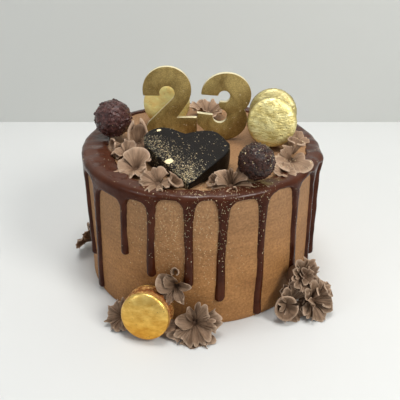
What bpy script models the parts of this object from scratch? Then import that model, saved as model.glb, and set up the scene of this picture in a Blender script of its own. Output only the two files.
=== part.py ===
"""A round celebration cake: smooth frosting, a poured ganache ring with drips, piped cream
flowers, gilded macarons, two crisp chocolate balls, a chocolate heart and the numerals 2 and 3.

Metres, +Z up. The origin is the middle of the cake's flat base, and the front faces -Y.
An azimuth is in degrees, 0 at the front and growing to the right.
"""

import math
from collections import namedtuple

import bmesh
import bpy
import numpy as np
from mathutils import Matrix, Vector, noise

GAP = 0.0003
MERGE = 0.0001

# The frosted body
CAKE_RADIUS = 0.0795
CAKE_HEIGHT = 0.0920
CAKE_CHAMFER = 0.0020
CAKE_STEPS = 72

# The ganache ring: its lip above the cake, how far it stands out, and how deep its section is rooted
RING_STEPS = 96
RING_START = 1.0
RING_LIP = 0.0012
RING_PROUD = 0.0018
RING_ROOT = 0.0020
RING_ROUND = 0.0015
RING_HEM = 0.0008
# Where the ring bulges outwards at the right: azimuth, spread and how much
RING_BULGE = (82.0, 24.0, 0.0014)
RING_TOP = CAKE_HEIGHT + RING_LIP
FUNNEL_DEPTH = 0.0100

# The ring's inner edge, as (azimuth, radius)
RING_INNER = ((-90, 0.0645), (-71, 0.0615), (-41, 0.0677), (-24, 0.0717), (25, 0.0698),
              (42, 0.0690), (55, 0.0735), (90, 0.0722), (130, 0.0690), (180, 0.0718), (225, 0.0740))

# A drip's start and end are its azimuths at the rim and at the tip, foot is the tip's height, and
# arch is the height of the ganache's edge between this drip and the next one to the right. Full is
# how much prouder than the others it stands
Drip = namedtuple("Drip", "start end foot half_width arch full", defaults=(1.0,))
DRIP_PROUD = 0.0021
DRIP_TOP = CAKE_HEIGHT - 0.0022
LOWEST_DRIP = 0.0012
FRONT_DRIPS = (
    Drip(-70.0, -65.5, 0.0230, 0.0023, 0.0862),
    Drip(-54.4, -58.8, LOWEST_DRIP, 0.0027, 0.0832),
    Drip(-35.2, -36.4, 0.0435, 0.0023, 0.0856),
    Drip(-21.2, -22.6, 0.0335, 0.0025, 0.0896),
    Drip(-4.6, -5.2, 0.0290, 0.0026, 0.0904),
    Drip(10.4, 8.6, 0.0183, 0.0027, 0.0889),
    Drip(28.2, 27.9, LOWEST_DRIP, 0.0024, 0.0894),
    Drip(47.8, 49.6, 0.0140, 0.0025, 0.0885),
    Drip(66.0, 68.5, 0.0100, 0.0023, 0.0878),
    Drip(77.5, 76.5, 0.0135, 0.0028, 0.0872, 1.9),
)
BACK_DRIP_COUNT = 9
BACK_DRIP_FEET = (0.012, 0.055)
DRIP_BEAD = 1.15
# Down a drip: the share of its fall, its width in half widths and how proud it stands
DRIP_SECTIONS = ((0.0, 2.10, 0.85), (0.09, 1.30, 0.92), (0.24, 0.98, 0.95), (0.60, 0.90, 1.0),
                 (1.0, DRIP_BEAD, DRIP_BEAD))

# Round chocolate balls with a nut crust, as (name, x, y, radius)
BALLS = (("crisp_ball_left", -0.0603, 0.0068, 0.0140), ("crisp_ball_right", 0.0336, -0.0590, 0.0122))
BALL_CRUST = 0.0010
BALL_GRAIN = 0.0034

# The heart lies flat on the cream, its tip to the front. Its section runs from the middle of the top
# over the edge to the middle of the base, as shares of the outline and of the height
HEART_WIDTH = 0.0557
HEART_LENGTH = 0.0482
HEART_THICKNESS = 0.0188
HEART_PLACE = (-0.0135, -0.0440)
HEART_TURN = -10.0
HEART_SKEW = 0.40
HEART_FALL = 0.77
HEART_TIP = 1.62
HEART_WAVES = (13.0, 4.0, -0.1, 1.2)
HEART_SECTION = ((0.0, 1.0), (0.55, 1.0), (0.90, 0.995), (0.95, 0.98), (0.985, 0.94), (1.0, 0.87),
                 (1.0, 0.50), (0.99, 0.20), (0.975, 0.06), (0.94, 0.0), (0.0, 0.0))

# The numerals
NUMERAL_THICKNESS = 0.0034
TWO_PLACE = (-0.0398, 0.0160)
THREE_PLACE = (-0.0020, 0.0062)
ARC_POINTS_PER_TURN = 32

# Macarons: two domed shells with a frilled foot, and a disc of filling between them
SHELL_FOOT = 0.0009
FILLING_INSET = 0.0010
MACARON_STEPS = 20
Macaron = namedtuple("Macaron", "name x y base radius facing lean shell filling", defaults=(0.0062, 0.0028))
MACARONS = (
    Macaron("macaron_right_front", 0.0483, -0.0052, CAKE_HEIGHT, 0.0166, -3.0, 20.0),
    Macaron("macaron_right_back", 0.0512, 0.0143, CAKE_HEIGHT, 0.0166, -3.0, 20.0),
    Macaron("macaron_back_left", -0.0243, 0.0330, CAKE_HEIGHT, 0.0166, -8.0, 14.0),
    Macaron("macaron_base", -0.0322, -0.0866, 0.0, 0.0155, -13.0, 12.0, 0.0070, 0.0040),
)

# Piped flowers, as name, place of the back's middle, facing azimuth, rise of the axis above level,
# petal reach, depth, number of petals and turn about the axis
Flower = namedtuple("Flower", "name x y z facing rise reach depth petals turn")
FLOWERS = (
    Flower("top_flower_1", -0.0430, -0.0030, CAKE_HEIGHT, 8, 56, 0.0145, 0.0145, 6, 10),
    Flower("top_flower_2", -0.0515, -0.0160, CAKE_HEIGHT, -50, 76, 0.0115, 0.0090, 6, 0),
    Flower("top_flower_3", -0.0415, -0.0420, CAKE_HEIGHT, -30, 76, 0.0140, 0.0095, 6, 25),
    Flower("top_flower_4", -0.0280, -0.0645, CAKE_HEIGHT, -20, 74, 0.0125, 0.0090, 6, 5),
    Flower("top_flower_5", 0.0172, -0.0612, CAKE_HEIGHT, 5, 72, 0.0125, 0.0095, 6, 20),
    Flower("top_flower_6", 0.0572, -0.0295, CAKE_HEIGHT, 20, 64, 0.0145, 0.0115, 6, 0),
    Flower("top_flower_7", 0.0505, -0.0490, CAKE_HEIGHT, 40, 80, 0.0095, 0.0080, 5, 30),
    Flower("top_flower_8", 0.0690, 0.0010, CAKE_HEIGHT, 70, 76, 0.0095, 0.0080, 5, 0),
    Flower("top_flower_9", 0.0060, 0.0470, CAKE_HEIGHT, 180, 84, 0.0130, 0.0100, 6, 15),
    Flower("top_flower_10", -0.0270, 0.0560, CAKE_HEIGHT, 180, 76, 0.0125, 0.0105, 6, 0),
    Flower("top_flower_11", 0.0510, 0.0440, CAKE_HEIGHT, 150, 76, 0.0120, 0.0100, 6, 20),
    Flower("base_flower_1", -0.0168, -0.0772, 0.0318, -11, 22, 0.0130, 0.0095, 6, 15),
    Flower("base_flower_2", -0.0036, -0.0860, 0.0072, -2, 40, 0.0145, 0.0115, 8, 10),
    Flower("base_flower_3", -0.0485, -0.0765, 0.0042, -38, 45, 0.0100, 0.0100, 6, 0),
    Flower("base_flower_4", 0.0556, -0.0650, 0.0050, 36, 36, 0.0135, 0.0150, 6, 5),
    Flower("base_flower_5", 0.0706, -0.0655, 0.0048, 52, 40, 0.0130, 0.0135, 7, 15),
    Flower("base_flower_6", 0.0622, -0.0600, 0.0212, 46, 36, 0.0120, 0.0145, 6, 0),
    Flower("base_flower_7", -0.0800, 0.0030, 0.0100, -93, 30, 0.0135, 0.0095, 6, 25),
)
FLOWER_ROWS = 5
UPPER_SHARE = 3 / FLOWER_ROWS
# A flower's valleys between petals in shares of its reach, and its creases, pit and rim in shares of its depth
VALLEY = 0.50
CREASE = 0.35
PIT = 0.50
RIM = 0.75
PETAL_ROUNDNESS = 0.6

Look = namedtuple("Look", "colour roughness metallic")
LOOKS = {
    "frosting": Look((0.36, 0.22, 0.13), 0.55, 0.0),
    "ganache": Look((0.055, 0.024, 0.018), 0.20, 0.0),
    "piped_cream": Look((0.27, 0.18, 0.13), 0.60, 0.0),
    "crisp_chocolate": Look((0.060, 0.026, 0.024), 0.35, 0.0),
    "heart_chocolate": Look((0.012, 0.010, 0.009), 0.30, 0.0),
    "gold_plate": Look((0.42, 0.29, 0.09), 0.38, 0.8),
    "gold_shell": Look((0.70, 0.52, 0.18), 0.35, 0.7),
    "macaron_filling": Look((0.40, 0.13, 0.03), 0.60, 0.0),
}


def spot(azimuth, radius, height):
    """The point at this azimuth, distance from the axis and height."""
    angle = math.radians(azimuth)
    return Vector((radius * math.sin(angle), -radius * math.cos(angle), height))


def azimuth_of(point):
    return math.degrees(math.atan2(point[0], -point[1]))


def round_the_circle(table, azimuth):
    """The table's value at an azimuth, eased from one entry to the next and closed at 360 degrees."""
    place = table[0][0] + (azimuth - table[0][0]) % 360
    closed = list(table) + [(table[0][0] + 360, table[0][1])]
    for (left, low), (right, high) in zip(closed, closed[1:]):
        if place <= right:
            share = (place - left) / (right - left)
            return low + (high - low) * 0.5 * (1 - math.cos(math.pi * share))
    return table[0][1]


def facing_matrix(place, facing, rise):
    """Puts a piece's +Z along a direction that faces an azimuth and rises above level, its +Y upwards."""
    flat = spot(facing, 1.0, 0.0)
    axis = flat * math.cos(math.radians(rise)) + Vector((0, 0, math.sin(math.radians(rise))))
    side = Vector((0, 0, 1)).cross(axis).normalized()
    up = axis.cross(side)
    turn = Matrix((side, up, axis)).transposed().to_4x4()
    return Matrix.Translation(place) @ turn


def make_collection(name):
    home = bpy.data.collections.new(name)
    bpy.context.scene.collection.children.link(home)
    return home


def make_material(name):
    look = LOOKS[name]
    material = bpy.data.materials.new(name)
    material.use_nodes = True
    shader = material.node_tree.nodes["Principled BSDF"]
    shader.inputs["Base Color"].default_value = (*look.colour, 1.0)
    shader.inputs["Roughness"].default_value = look.roughness
    shader.inputs["Metallic"].default_value = look.metallic
    return material


def make_object(name, bm, home, material=None):
    mesh = bpy.data.meshes.new(name)
    bm.to_mesh(mesh)
    bm.free()
    mesh.shade_smooth()
    mesh.set_sharp_from_angle(angle=math.radians(45))
    obj = bpy.data.objects.new(name, mesh)
    home.objects.link(obj)
    if material:
        mesh.materials.append(material)
    else:
        obj.hide_render = True
        obj.display_type = "WIRE"
    return obj


def turned(name, profile, steps, home, material=None):
    """A solid turned about Z from a profile of (radius, height) that runs from the top to the bottom."""
    bm = bmesh.new()
    points = [bm.verts.new((radius, 0.0, height)) for radius, height in profile]
    for pair in zip(points, points[1:]):
        bm.edges.new(pair)
    obj = make_object(name, bm, home, material)
    screw = obj.modifiers.new("Turn", "SCREW")
    screw.steps = screw.render_steps = steps
    screw.use_merge_vertices = True
    screw.merge_threshold = MERGE
    return obj


def combine(obj, operation, others, solver="EXACT"):
    """Adds a Boolean with each of the others, kept as modifiers."""
    for other in others:
        cut = obj.modifiers.new(operation.title(), "BOOLEAN")
        cut.operation = operation
        cut.solver = solver
        cut.object = other


def apply_modifiers(obj):
    bpy.context.view_layer.update()
    graph = bpy.context.evaluated_depsgraph_get()
    mesh = bpy.data.meshes.new_from_object(obj.evaluated_get(graph))
    obj.modifiers.clear()
    obj.data = mesh


def cake_profile(grow=0.0):
    radius, height = CAKE_RADIUS + grow, CAKE_HEIGHT + grow
    return ((0, height), (radius - CAKE_CHAMFER, height), (radius, height - CAKE_CHAMFER),
            (radius, -grow), (0, -grow))


def all_drips():
    """The front drips, then the unseen ones behind, spaced alike with uneven lengths."""
    rng = np.random.default_rng(23)
    first, last = FRONT_DRIPS[-1].start, FRONT_DRIPS[0].start + 360
    pitch = (last - first) / (BACK_DRIP_COUNT + 1)
    back = []
    for index in range(1, BACK_DRIP_COUNT + 1):
        start = first + pitch * index + rng.uniform(-2.5, 2.5)
        foot = rng.uniform(*BACK_DRIP_FEET)
        back.append(Drip(start, start + rng.uniform(-1.5, 1.5), foot,
                         rng.uniform(0.0022, 0.0027), rng.uniform(0.0850, 0.0900)))
    return list(FRONT_DRIPS) + back


def ganache_edge(azimuth, drips):
    """The ring's lower edge: a flat-topped arch between two drips, and a funnel at each of them."""
    place = drips[0].start + (azimuth - drips[0].start) % 360
    for index, drip in enumerate(drips):
        following = drips[(index + 1) % len(drips)]
        width = (following.start - drip.start) % 360
        if place - drip.start <= width:
            across = 2 * (place - drip.start) / width - 1
            rise = math.sqrt(max(0.0, 1 - abs(across) ** 3))
            return drip.arch - FUNNEL_DEPTH * (1 - rise)
    return drips[-1].arch


def make_ring(drips, home, grow=0.0):
    """The poured ring as a fat solid that reaches into the body, from a spun section."""
    top = RING_TOP + grow
    outer = CAKE_RADIUS + RING_PROUD + grow
    inner = min(radius for _, radius in RING_INNER) - grow
    edge = FRONT_DRIPS[0].arch - grow
    section = {
        "inner": ((inner, CAKE_HEIGHT - RING_ROOT), (inner, CAKE_HEIGHT + RING_LIP / 2),
                  (inner + RING_ROUND, top)),
        "outer": ((CAKE_RADIUS - 2 * RING_ROUND, top), (CAKE_RADIUS + RING_PROUD / 3, top - RING_LIP / 2),
                  (outer - GAP, top - RING_ROUND)),
        "lower": ((outer, edge + RING_HEM), (CAKE_RADIUS - RING_HEM, edge), (CAKE_RADIUS - 2 * RING_ROOT, edge)),
    }
    bm = bmesh.new()
    loop = [bm.verts.new(spot(RING_START, radius, height)) for part in section.values() for radius, height in part]
    edges = [bm.edges.new((a, b)) for a, b in zip(loop, loop[1:] + loop[:1])]
    bmesh.ops.spin(bm, geom=loop + edges, cent=(0, 0, 0), axis=(0, 0, 1), angle=2 * math.pi,
                   steps=RING_STEPS, use_merge=True)
    nearest = [(radius, height, kind) for kind, part in section.items() for radius, height in part]
    for vert in bm.verts:
        radius, height, azimuth = math.hypot(vert.co.x, vert.co.y), vert.co.z, azimuth_of(vert.co)
        kind = min(nearest, key=lambda point: math.hypot(point[0] - radius, point[1] - height))[2]
        if radius > CAKE_RADIUS:
            middle, spread, bulge = RING_BULGE
            radius += bulge * math.exp(-((azimuth - middle) / spread) ** 2)
        if kind == "inner":
            radius += round_the_circle(RING_INNER, azimuth) - grow - inner
        elif kind == "lower":
            height += ganache_edge(azimuth, drips) - grow - edge
        vert.co = spot(azimuth, radius, height)
    bmesh.ops.recalc_face_normals(bm, faces=bm.faces)
    return make_object("ganache_drip", bm, home)


def make_drip(drip, home, grow=0.0):
    """One run of ganache: wide where it leaves the ring, slim below, a bead at its round tip."""
    bead = drip.half_width * DRIP_BEAD
    bottom = drip.foot + bead
    full = DRIP_PROUD * drip.full
    points = [(DRIP_TOP + (bottom - DRIP_TOP) * share, drip.half_width * width, full * proud)
              for share, width, proud in DRIP_SECTIONS]
    points += [(drip.foot + 0.35 * bead, 0.82 * bead, full), (drip.foot, 0.40 * bead, 0.5 * full)]
    data = bpy.data.curves.new("drip", "CURVE")
    data.dimensions = "3D"
    data.bevel_depth = 1.0
    data.bevel_resolution = 2
    data.use_fill_caps = True
    spline = data.splines.new("POLY")
    spline.points.add(len(points) - 1)
    for point, (height, width, proud) in zip(spline.points, points):
        fall = (DRIP_TOP - height) / (DRIP_TOP - drip.foot)
        azimuth = drip.start + (drip.end - drip.start) * fall
        place = spot(azimuth, CAKE_RADIUS + proud - width, height)
        if height == drip.foot:
            place.z -= grow
        point.co = (*place, 1.0)
        point.radius = width + grow
    curve = bpy.data.objects.new("drip", data)
    home.objects.link(curve)
    bpy.context.view_layer.update()
    graph = bpy.context.evaluated_depsgraph_get()
    bm = bmesh.new()
    bm.from_mesh(bpy.data.meshes.new_from_object(curve.evaluated_get(graph)))
    bpy.data.objects.remove(curve)
    bmesh.ops.remove_doubles(bm, verts=bm.verts, dist=MERGE / 10)
    bmesh.ops.recalc_face_normals(bm, faces=bm.faces)
    return make_object("drip", bm, home)


def make_ganache(home, helpers, grow=0.0):
    """The ring and its drips fused, still filling the body where they reach into it."""
    drips = all_drips()
    ring = make_ring(drips, helpers, grow)
    runs = bpy.data.collections.new("drips")
    helpers.children.link(runs)
    for drip in drips:
        make_drip(drip, runs, grow)
    union = ring.modifiers.new("Drips", "BOOLEAN")
    union.operation = "UNION"
    union.solver = "MANIFOLD"
    union.operand_type = "COLLECTION"
    union.collection = runs
    apply_modifiers(ring)
    for run in list(runs.objects):
        bpy.data.objects.remove(run)
    bpy.data.collections.remove(runs)
    helpers.objects.unlink(ring)
    home.objects.link(ring)
    return ring


def arc(middle, radii, start, end):
    """Points of an elliptic arc, the angles in degrees, counter-clockwise if end is larger."""
    count = max(2, round(abs(end - start) / 360 * ARC_POINTS_PER_TURN))
    angles = [math.radians(start + (end - start) * step / count) for step in range(count + 1)]
    return [(middle[0] + radii[0] * math.cos(angle), middle[1] + radii[1] * math.sin(angle)) for angle in angles]


def two_outline():
    """The numeral 2, in its own plane from its lower left corner: one bowl, a straight neck and a deep foot."""
    foot_right, foot_height, crook = 0.0375, 0.0130, 0.0237
    bowl, eye = (0.0168, 0.0330), (0.0168, 0.0307)
    return ([(0.0005, 0.0), (foot_right, 0.0), (foot_right, foot_height), (crook, foot_height)]
            + arc(bowl, (0.0169, 0.0169), -40, 193)
            + arc(eye, (0.0054, 0.0054), 197, -40)
            + [(0.0035, 0.0095), (0.0008, 0.0045)])


def three_outline():
    """The numeral 3, in its own plane: a wide upper bowl, a rounder lower one and a square lower arm."""
    upper, lower = (0.0198, 0.0327), (0.0183, 0.0149)
    upper_eye, lower_eye = (0.0184, 0.0318), (0.0156, 0.0179)
    return ([(0.0, 0.0202), (0.0, 0.0120)]
            + arc(lower, (0.0162, 0.0149), 205, 391)
            + arc(upper, (0.0170, 0.0156), -39, 176)
            + [(0.0034, 0.0332), (0.0132, 0.0324)]
            + arc(upper_eye, (0.0041, 0.0041), 172, -70)
            + [(0.0158, 0.0281), (0.0148, 0.0267), (0.0153, 0.0242)]
            + arc(lower_eye, (0.0050, 0.0050), 75, -190))


def make_numeral(name, outline, place, home, material):
    """A flat plate with a numeral's outline, standing upright on the cream."""
    data = bpy.data.curves.new(name, "CURVE")
    data.dimensions = "2D"
    data.fill_mode = "BOTH"
    data.extrude = NUMERAL_THICKNESS / 2
    spline = data.splines.new("POLY")
    spline.points.add(len(outline) - 1)
    spline.use_cyclic_u = True
    for point, (across, up) in zip(spline.points, outline):
        point.co = (across, up, 0.0, 1.0)
    data.materials.append(material)
    obj = bpy.data.objects.new(name, data)
    home.objects.link(obj)
    obj.location = (place[0], place[1], CAKE_HEIGHT + GAP)
    obj.rotation_euler = (math.pi / 2, 0.0, 0.0)
    return obj


def heart_reach(angle):
    """The heart's outline, as shares of its half width and half length, from the notch round to the tip and back."""
    across = math.copysign(abs(math.sin(angle)) ** HEART_TIP, math.sin(angle))
    signs = (1, -1, -1, -1)
    waves = [sign * size for sign, size in zip(signs, HEART_WAVES)]
    along = sum(wave * math.cos(turn * angle) for turn, wave in enumerate(waves, 1))
    tip = sum(wave * math.cos(turn * math.pi) for turn, wave in enumerate(waves, 1))
    lobe = sum(wave * math.cos(turn * math.pi / 4) for turn, wave in enumerate(waves, 1))
    along = 2 * (along - tip) / (lobe - tip) - 1
    return across + HEART_SKEW * (1 - along) / 2, along


def make_heart(name, home, material=None, grow=0.0):
    """A thick moulded heart with a flat base, a firm edge and a flat top that falls towards the tip."""
    half_width, half_length = HEART_WIDTH / 2 + grow, HEART_LENGTH / 2 + grow
    rings = len(HEART_SECTION) - 1
    bm = bmesh.new()
    bmesh.ops.create_uvsphere(bm, u_segments=32, v_segments=rings, radius=1.0)
    for vert in bm.verts:
        across, along = heart_reach(math.atan2(vert.co.x, vert.co.y))
        polar = math.acos(max(-1.0, min(1.0, vert.co.z)))
        swell, height = HEART_SECTION[round(polar / math.pi * rings)]
        fall = 1 - HEART_FALL * (1 - along * swell) / 2
        vert.co = (half_width * across * swell, half_length * along * swell,
                   height * (HEART_THICKNESS * fall + 2 * grow) - grow)
    bmesh.ops.recalc_face_normals(bm, faces=bm.faces)
    obj = make_object(name, bm, home, material)
    obj.location = (*HEART_PLACE, CAKE_HEIGHT + GAP)
    obj.rotation_euler = (0.0, 0.0, math.radians(HEART_TURN))
    return obj


def make_ball(name, x, y, radius, home, material=None, grow=0.0):
    """A ball whose crust of chopped nuts stands out as small rounded bumps."""
    bm = bmesh.new()
    bmesh.ops.create_icosphere(bm, subdivisions=4, radius=radius - BALL_CRUST + grow)
    seed = Vector((x, y, radius)) * 1000
    for vert in bm.verts:
        outward = vert.co.normalized()
        nearest = noise.voronoi((vert.co + seed) / BALL_GRAIN)[0][0]
        vert.co += outward * BALL_CRUST * max(0.0, 1.0 - nearest * nearest * 1.6)
    obj = make_object(name, bm, home, material)
    obj.location = (x, y, RING_TOP + GAP + radius)
    return obj


def macaron_depth(macaron):
    return 2 * macaron.shell + macaron.filling + 2 * GAP


def macaron_layers(macaron):
    """(name, profile) of the three layers, from the back of the lower shell to the face of the upper one."""
    radius, cap, filling = macaron.radius, macaron.shell, macaron.filling
    shell = ((0, cap), (0.68 * radius, 0.89 * cap), (0.955 * radius, 0.50 * cap), (radius, SHELL_FOOT),
             (0.97 * radius, 0))
    face = tuple((r, cap + filling + 2 * GAP + z) for r, z in shell) + ((0, cap + filling + 2 * GAP),)
    back = ((0, cap),) + tuple((r, cap - z) for r, z in reversed(shell))
    disc = ((0, cap + GAP + filling), (radius - FILLING_INSET, cap + GAP + filling),
            (radius - FILLING_INSET, cap + GAP), (0, cap + GAP))
    return (("shell_front", face), ("filling", disc), ("shell_back", back))


def macaron_matrix(macaron):
    """Stands a macaron on its edge, leaning back, its lowest point just above what it stands on."""
    lean = math.radians(macaron.lean)
    depth = macaron_depth(macaron)
    foot = 0.5 * depth * math.sin(lean) * 0.55 + macaron.radius * math.cos(lean)
    clearance = GAP if macaron.base else 0.0
    middle = Vector((macaron.x, macaron.y, macaron.base + clearance + foot))
    stand = facing_matrix(middle, macaron.facing, macaron.lean)
    return stand @ Matrix.Translation((0, 0, -depth / 2))


def make_macaron(macaron, home, looks):
    for layer, profile in macaron_layers(macaron):
        look = looks["macaron_filling" if layer == "filling" else "gold_shell"]
        obj = turned(f"{macaron.name}_{layer}", profile, MACARON_STEPS, home, look)
        obj.matrix_world = macaron_matrix(macaron)


def macaron_keepout(macaron, helpers):
    """A plain disc a little larger than the macaron."""
    depth = macaron_depth(macaron)
    radius = macaron.radius + GAP
    profile = ((0, depth + GAP), (0.7 * radius, depth + GAP), (radius, 0.80 * depth),
               (radius, 0.20 * depth), (0.7 * radius, -GAP), (0, -GAP))
    obj = turned(macaron.name + "_room", profile, MACARON_STEPS, helpers)
    obj.matrix_world = macaron_matrix(macaron)
    return obj


def flower_point(co, flower, lengths):
    """Moves a point of the unit sphere onto the flower: petals with a crease between them and a pit in the middle."""
    turn = (math.atan2(co.y, co.x) / (2 * math.pi)) % 1.0 * flower.petals
    petal = int(turn + 1e-6) % flower.petals
    lobe = max(0.0, math.sin(math.pi * (turn - math.floor(turn + 1e-6)))) ** PETAL_ROUNDNESS
    polar = math.acos(max(-1.0, min(1.0, co.z))) / math.pi
    reach = flower.reach * (VALLEY + (lengths[petal] - VALLEY) * lobe)
    if polar <= UPPER_SHARE:
        out = polar / UPPER_SHARE
        height = PIT + (1 - PIT) * math.sin(math.pi * min(1.0, out / RIM) / 2)
        height -= 0.5 * max(0.0, (out - RIM) / (1 - RIM)) ** 2
        height -= CREASE * (1 - lobe) * math.sin(math.pi * out)
        spread = reach * math.sin(math.pi * out / 2)
    else:
        under = (polar - UPPER_SHARE) / (1 - UPPER_SHARE)
        height = 0.5 * (1 - under) ** 1.5
        spread = reach * math.cos(math.pi * under / 2) * (1 - 0.35 * under)
    angle = math.atan2(co.y, co.x) + math.radians(flower.turn)
    return Vector((spread * math.cos(angle), spread * math.sin(angle), flower.depth * height))


def make_flower(flower, seed, home, material):
    rng = np.random.default_rng(seed)
    lengths = 1 - 0.22 * rng.random(flower.petals)
    bm = bmesh.new()
    bmesh.ops.create_uvsphere(bm, u_segments=4 * flower.petals, v_segments=FLOWER_ROWS, radius=1.0)
    for vert in bm.verts:
        vert.co = flower_point(vert.co, flower, lengths)
    bmesh.ops.recalc_face_normals(bm, faces=bm.faces)
    obj = make_object(flower.name, bm, home, material)
    obj.matrix_world = facing_matrix(Vector((flower.x, flower.y, flower.z)), flower.facing, flower.rise)
    return obj


def make_block(name, low, high, helpers, place=None):
    """A box cutter between two corners, turned and placed by a matrix."""
    size = [b - a for a, b in zip(low, high)]
    middle = [(a + b) / 2 for a, b in zip(low, high)]
    bm = bmesh.new()
    bmesh.ops.create_cube(bm, size=1.0, matrix=Matrix.Translation(middle) @ Matrix.Diagonal((*size, 1.0)))
    obj = make_object(name, bm, helpers)
    obj.matrix_world = place or Matrix.Identity(4)
    return obj


def box_of(obj):
    bpy.context.view_layer.update()
    corners = [obj.matrix_world @ Vector(corner) for corner in obj.bound_box]
    return [min(c[i] for c in corners) for i in range(3)], [max(c[i] for c in corners) for i in range(3)]


def meet(first, second):
    (low_a, high_a), (low_b, high_b) = box_of(first), box_of(second)
    return all(a < d and c < b for a, b, c, d in zip(low_a, high_a, low_b, high_b))


def part_neighbours(flowers, helpers):
    """Where two flowers' reaches cross, each is pressed flat against the plane between them."""
    for index, (flower, obj) in enumerate(flowers):
        for other, neighbour in flowers[index + 1:]:
            first, second = box_middle(obj), box_middle(neighbour)
            between = second - first
            if between.length >= flower.reach + other.reach or not meet(obj, neighbour):
                continue
            share = flower.reach / (flower.reach + other.reach)
            plane = first + between * share
            wall = between.to_track_quat("Z", "Y").to_matrix().to_4x4()
            far = 0.05
            for piece, low, high in ((obj, -GAP / 2, far), (neighbour, -far, GAP / 2)):
                name = f"wall_{flower.name}_{other.name}_{'a' if piece is obj else 'b'}"
                block = make_block(name, (-far, -far, low), (far, far, high), helpers,
                                   Matrix.Translation(plane) @ wall)
                combine(piece, "DIFFERENCE", [block])


def box_middle(obj):
    low, high = box_of(obj)
    return (Vector(low) + Vector(high)) / 2


def main():
    for obj in list(bpy.data.objects):
        bpy.data.objects.remove(obj, do_unlink=True)
    home = make_collection("celebration_cake")
    helpers = make_collection("cutters")
    helpers.hide_render = True
    looks = {name: make_material(name) for name in LOOKS}

    turned("cake_body", cake_profile(), CAKE_STEPS, home, looks["frosting"])
    room = turned("cake_room", cake_profile(GAP), CAKE_STEPS, helpers)

    ganache = make_ganache(home, helpers)
    ganache.hide_render = False
    ganache.display_type = "TEXTURED"
    ganache.data.materials.clear()
    ganache.data.materials.append(looks["ganache"])
    combine(ganache, "DIFFERENCE", [room], "MANIFOLD")
    ganache_room = make_ganache(helpers, helpers, GAP)
    ganache_room.name = "ganache_room"

    make_numeral("numeral_two", two_outline(), TWO_PLACE, home, looks["gold_plate"])
    make_numeral("numeral_three", three_outline(), THREE_PLACE, home, looks["gold_plate"])
    make_heart("chocolate_heart", home, looks["heart_chocolate"])
    keepouts = [room, ganache_room, make_heart("heart_room", helpers, None, 2 * GAP)]
    for name, (x, y) in (("two_room", TWO_PLACE), ("three_room", THREE_PLACE)):
        half = NUMERAL_THICKNESS / 2 + GAP
        keepouts.append(make_block(name, (x - GAP, y - half, 0.090), (x + 0.0382, y + half, 0.145), helpers))
    for name, x, y, radius in BALLS:
        make_ball(name, x, y, radius, home, looks["crisp_chocolate"])
        keepouts.append(make_ball(name + "_room", x, y, radius, helpers, None, 2 * GAP))
    for macaron in MACARONS:
        make_macaron(macaron, home, looks)
        keepouts.append(macaron_keepout(macaron, helpers))
    keepouts.append(make_block("floor_room", (-0.2, -0.2, -0.05), (0.2, 0.2, 0.0), helpers))

    flowers = [(flower, make_flower(flower, seed, home, looks["piped_cream"]))
               for seed, flower in enumerate(FLOWERS)]
    for _, obj in flowers:
        combine(obj, "DIFFERENCE", [other for other in keepouts if meet(obj, other)])
    part_neighbours(flowers, helpers)


main()
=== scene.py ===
"""Looks of a round celebration cake with a ganache drip edge, piped cream flowers, gilded macarons,
crisp chocolate balls, a chocolate heart and the numerals 2 and 3.

Metres, +Z up, the front faces -Y. An azimuth is in degrees, 0 at the front and growing to the right.
"""

import logging
import math
from dataclasses import dataclass, field
from enum import Enum
from typing import Callable, Iterable, Optional, Sequence

import bmesh
import bpy
import numpy as np
from mathutils import Matrix, Vector, noise


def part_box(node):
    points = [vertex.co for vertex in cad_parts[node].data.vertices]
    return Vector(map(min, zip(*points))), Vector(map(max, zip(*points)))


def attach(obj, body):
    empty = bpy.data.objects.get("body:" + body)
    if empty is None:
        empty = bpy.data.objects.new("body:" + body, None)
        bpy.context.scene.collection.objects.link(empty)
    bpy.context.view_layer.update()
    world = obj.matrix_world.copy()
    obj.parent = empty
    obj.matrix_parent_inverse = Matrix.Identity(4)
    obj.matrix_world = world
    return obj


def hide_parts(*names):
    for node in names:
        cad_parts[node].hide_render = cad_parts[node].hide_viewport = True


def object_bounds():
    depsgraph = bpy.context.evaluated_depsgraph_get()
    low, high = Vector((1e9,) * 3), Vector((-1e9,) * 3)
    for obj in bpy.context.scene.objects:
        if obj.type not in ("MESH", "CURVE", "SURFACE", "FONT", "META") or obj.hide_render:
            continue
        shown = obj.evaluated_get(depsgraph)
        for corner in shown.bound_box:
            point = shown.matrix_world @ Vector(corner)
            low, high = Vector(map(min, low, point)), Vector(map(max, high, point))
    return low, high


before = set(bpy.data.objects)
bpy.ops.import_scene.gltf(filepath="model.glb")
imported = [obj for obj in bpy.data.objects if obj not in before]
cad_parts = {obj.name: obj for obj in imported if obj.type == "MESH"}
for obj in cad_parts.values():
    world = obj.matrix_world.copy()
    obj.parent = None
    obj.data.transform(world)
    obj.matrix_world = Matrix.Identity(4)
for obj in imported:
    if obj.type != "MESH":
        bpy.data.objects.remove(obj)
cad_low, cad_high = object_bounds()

log = logging.getLogger("celebration_cake")

Triple = tuple[float, float, float]
Colour = Triple
Socket = bpy.types.NodeSocket
Shape = Callable[[np.ndarray], np.ndarray]

GAP = 0.0003
# The height of ripples, as a share of the number of their waves.
WAVES_PEAK = 0.62
CAKE_LOW, CAKE_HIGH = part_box("cake_body")
CAKE_RADIUS = (CAKE_HIGH.x - CAKE_LOW.x) / 2
CAKE_HEIGHT = CAKE_HIGH.z


class Slot(Enum):
    """The record's material slots."""

    FROSTING = "frosting"
    GANACHE = "ganache"
    CREAM = "piped_cream"
    CRISP = "crisp_chocolate"
    HEART = "heart_chocolate"
    PLATE = "gold_plate"
    SHELL = "gold_shell"
    FILLING = "macaron_filling"


# Places and shaping


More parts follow.
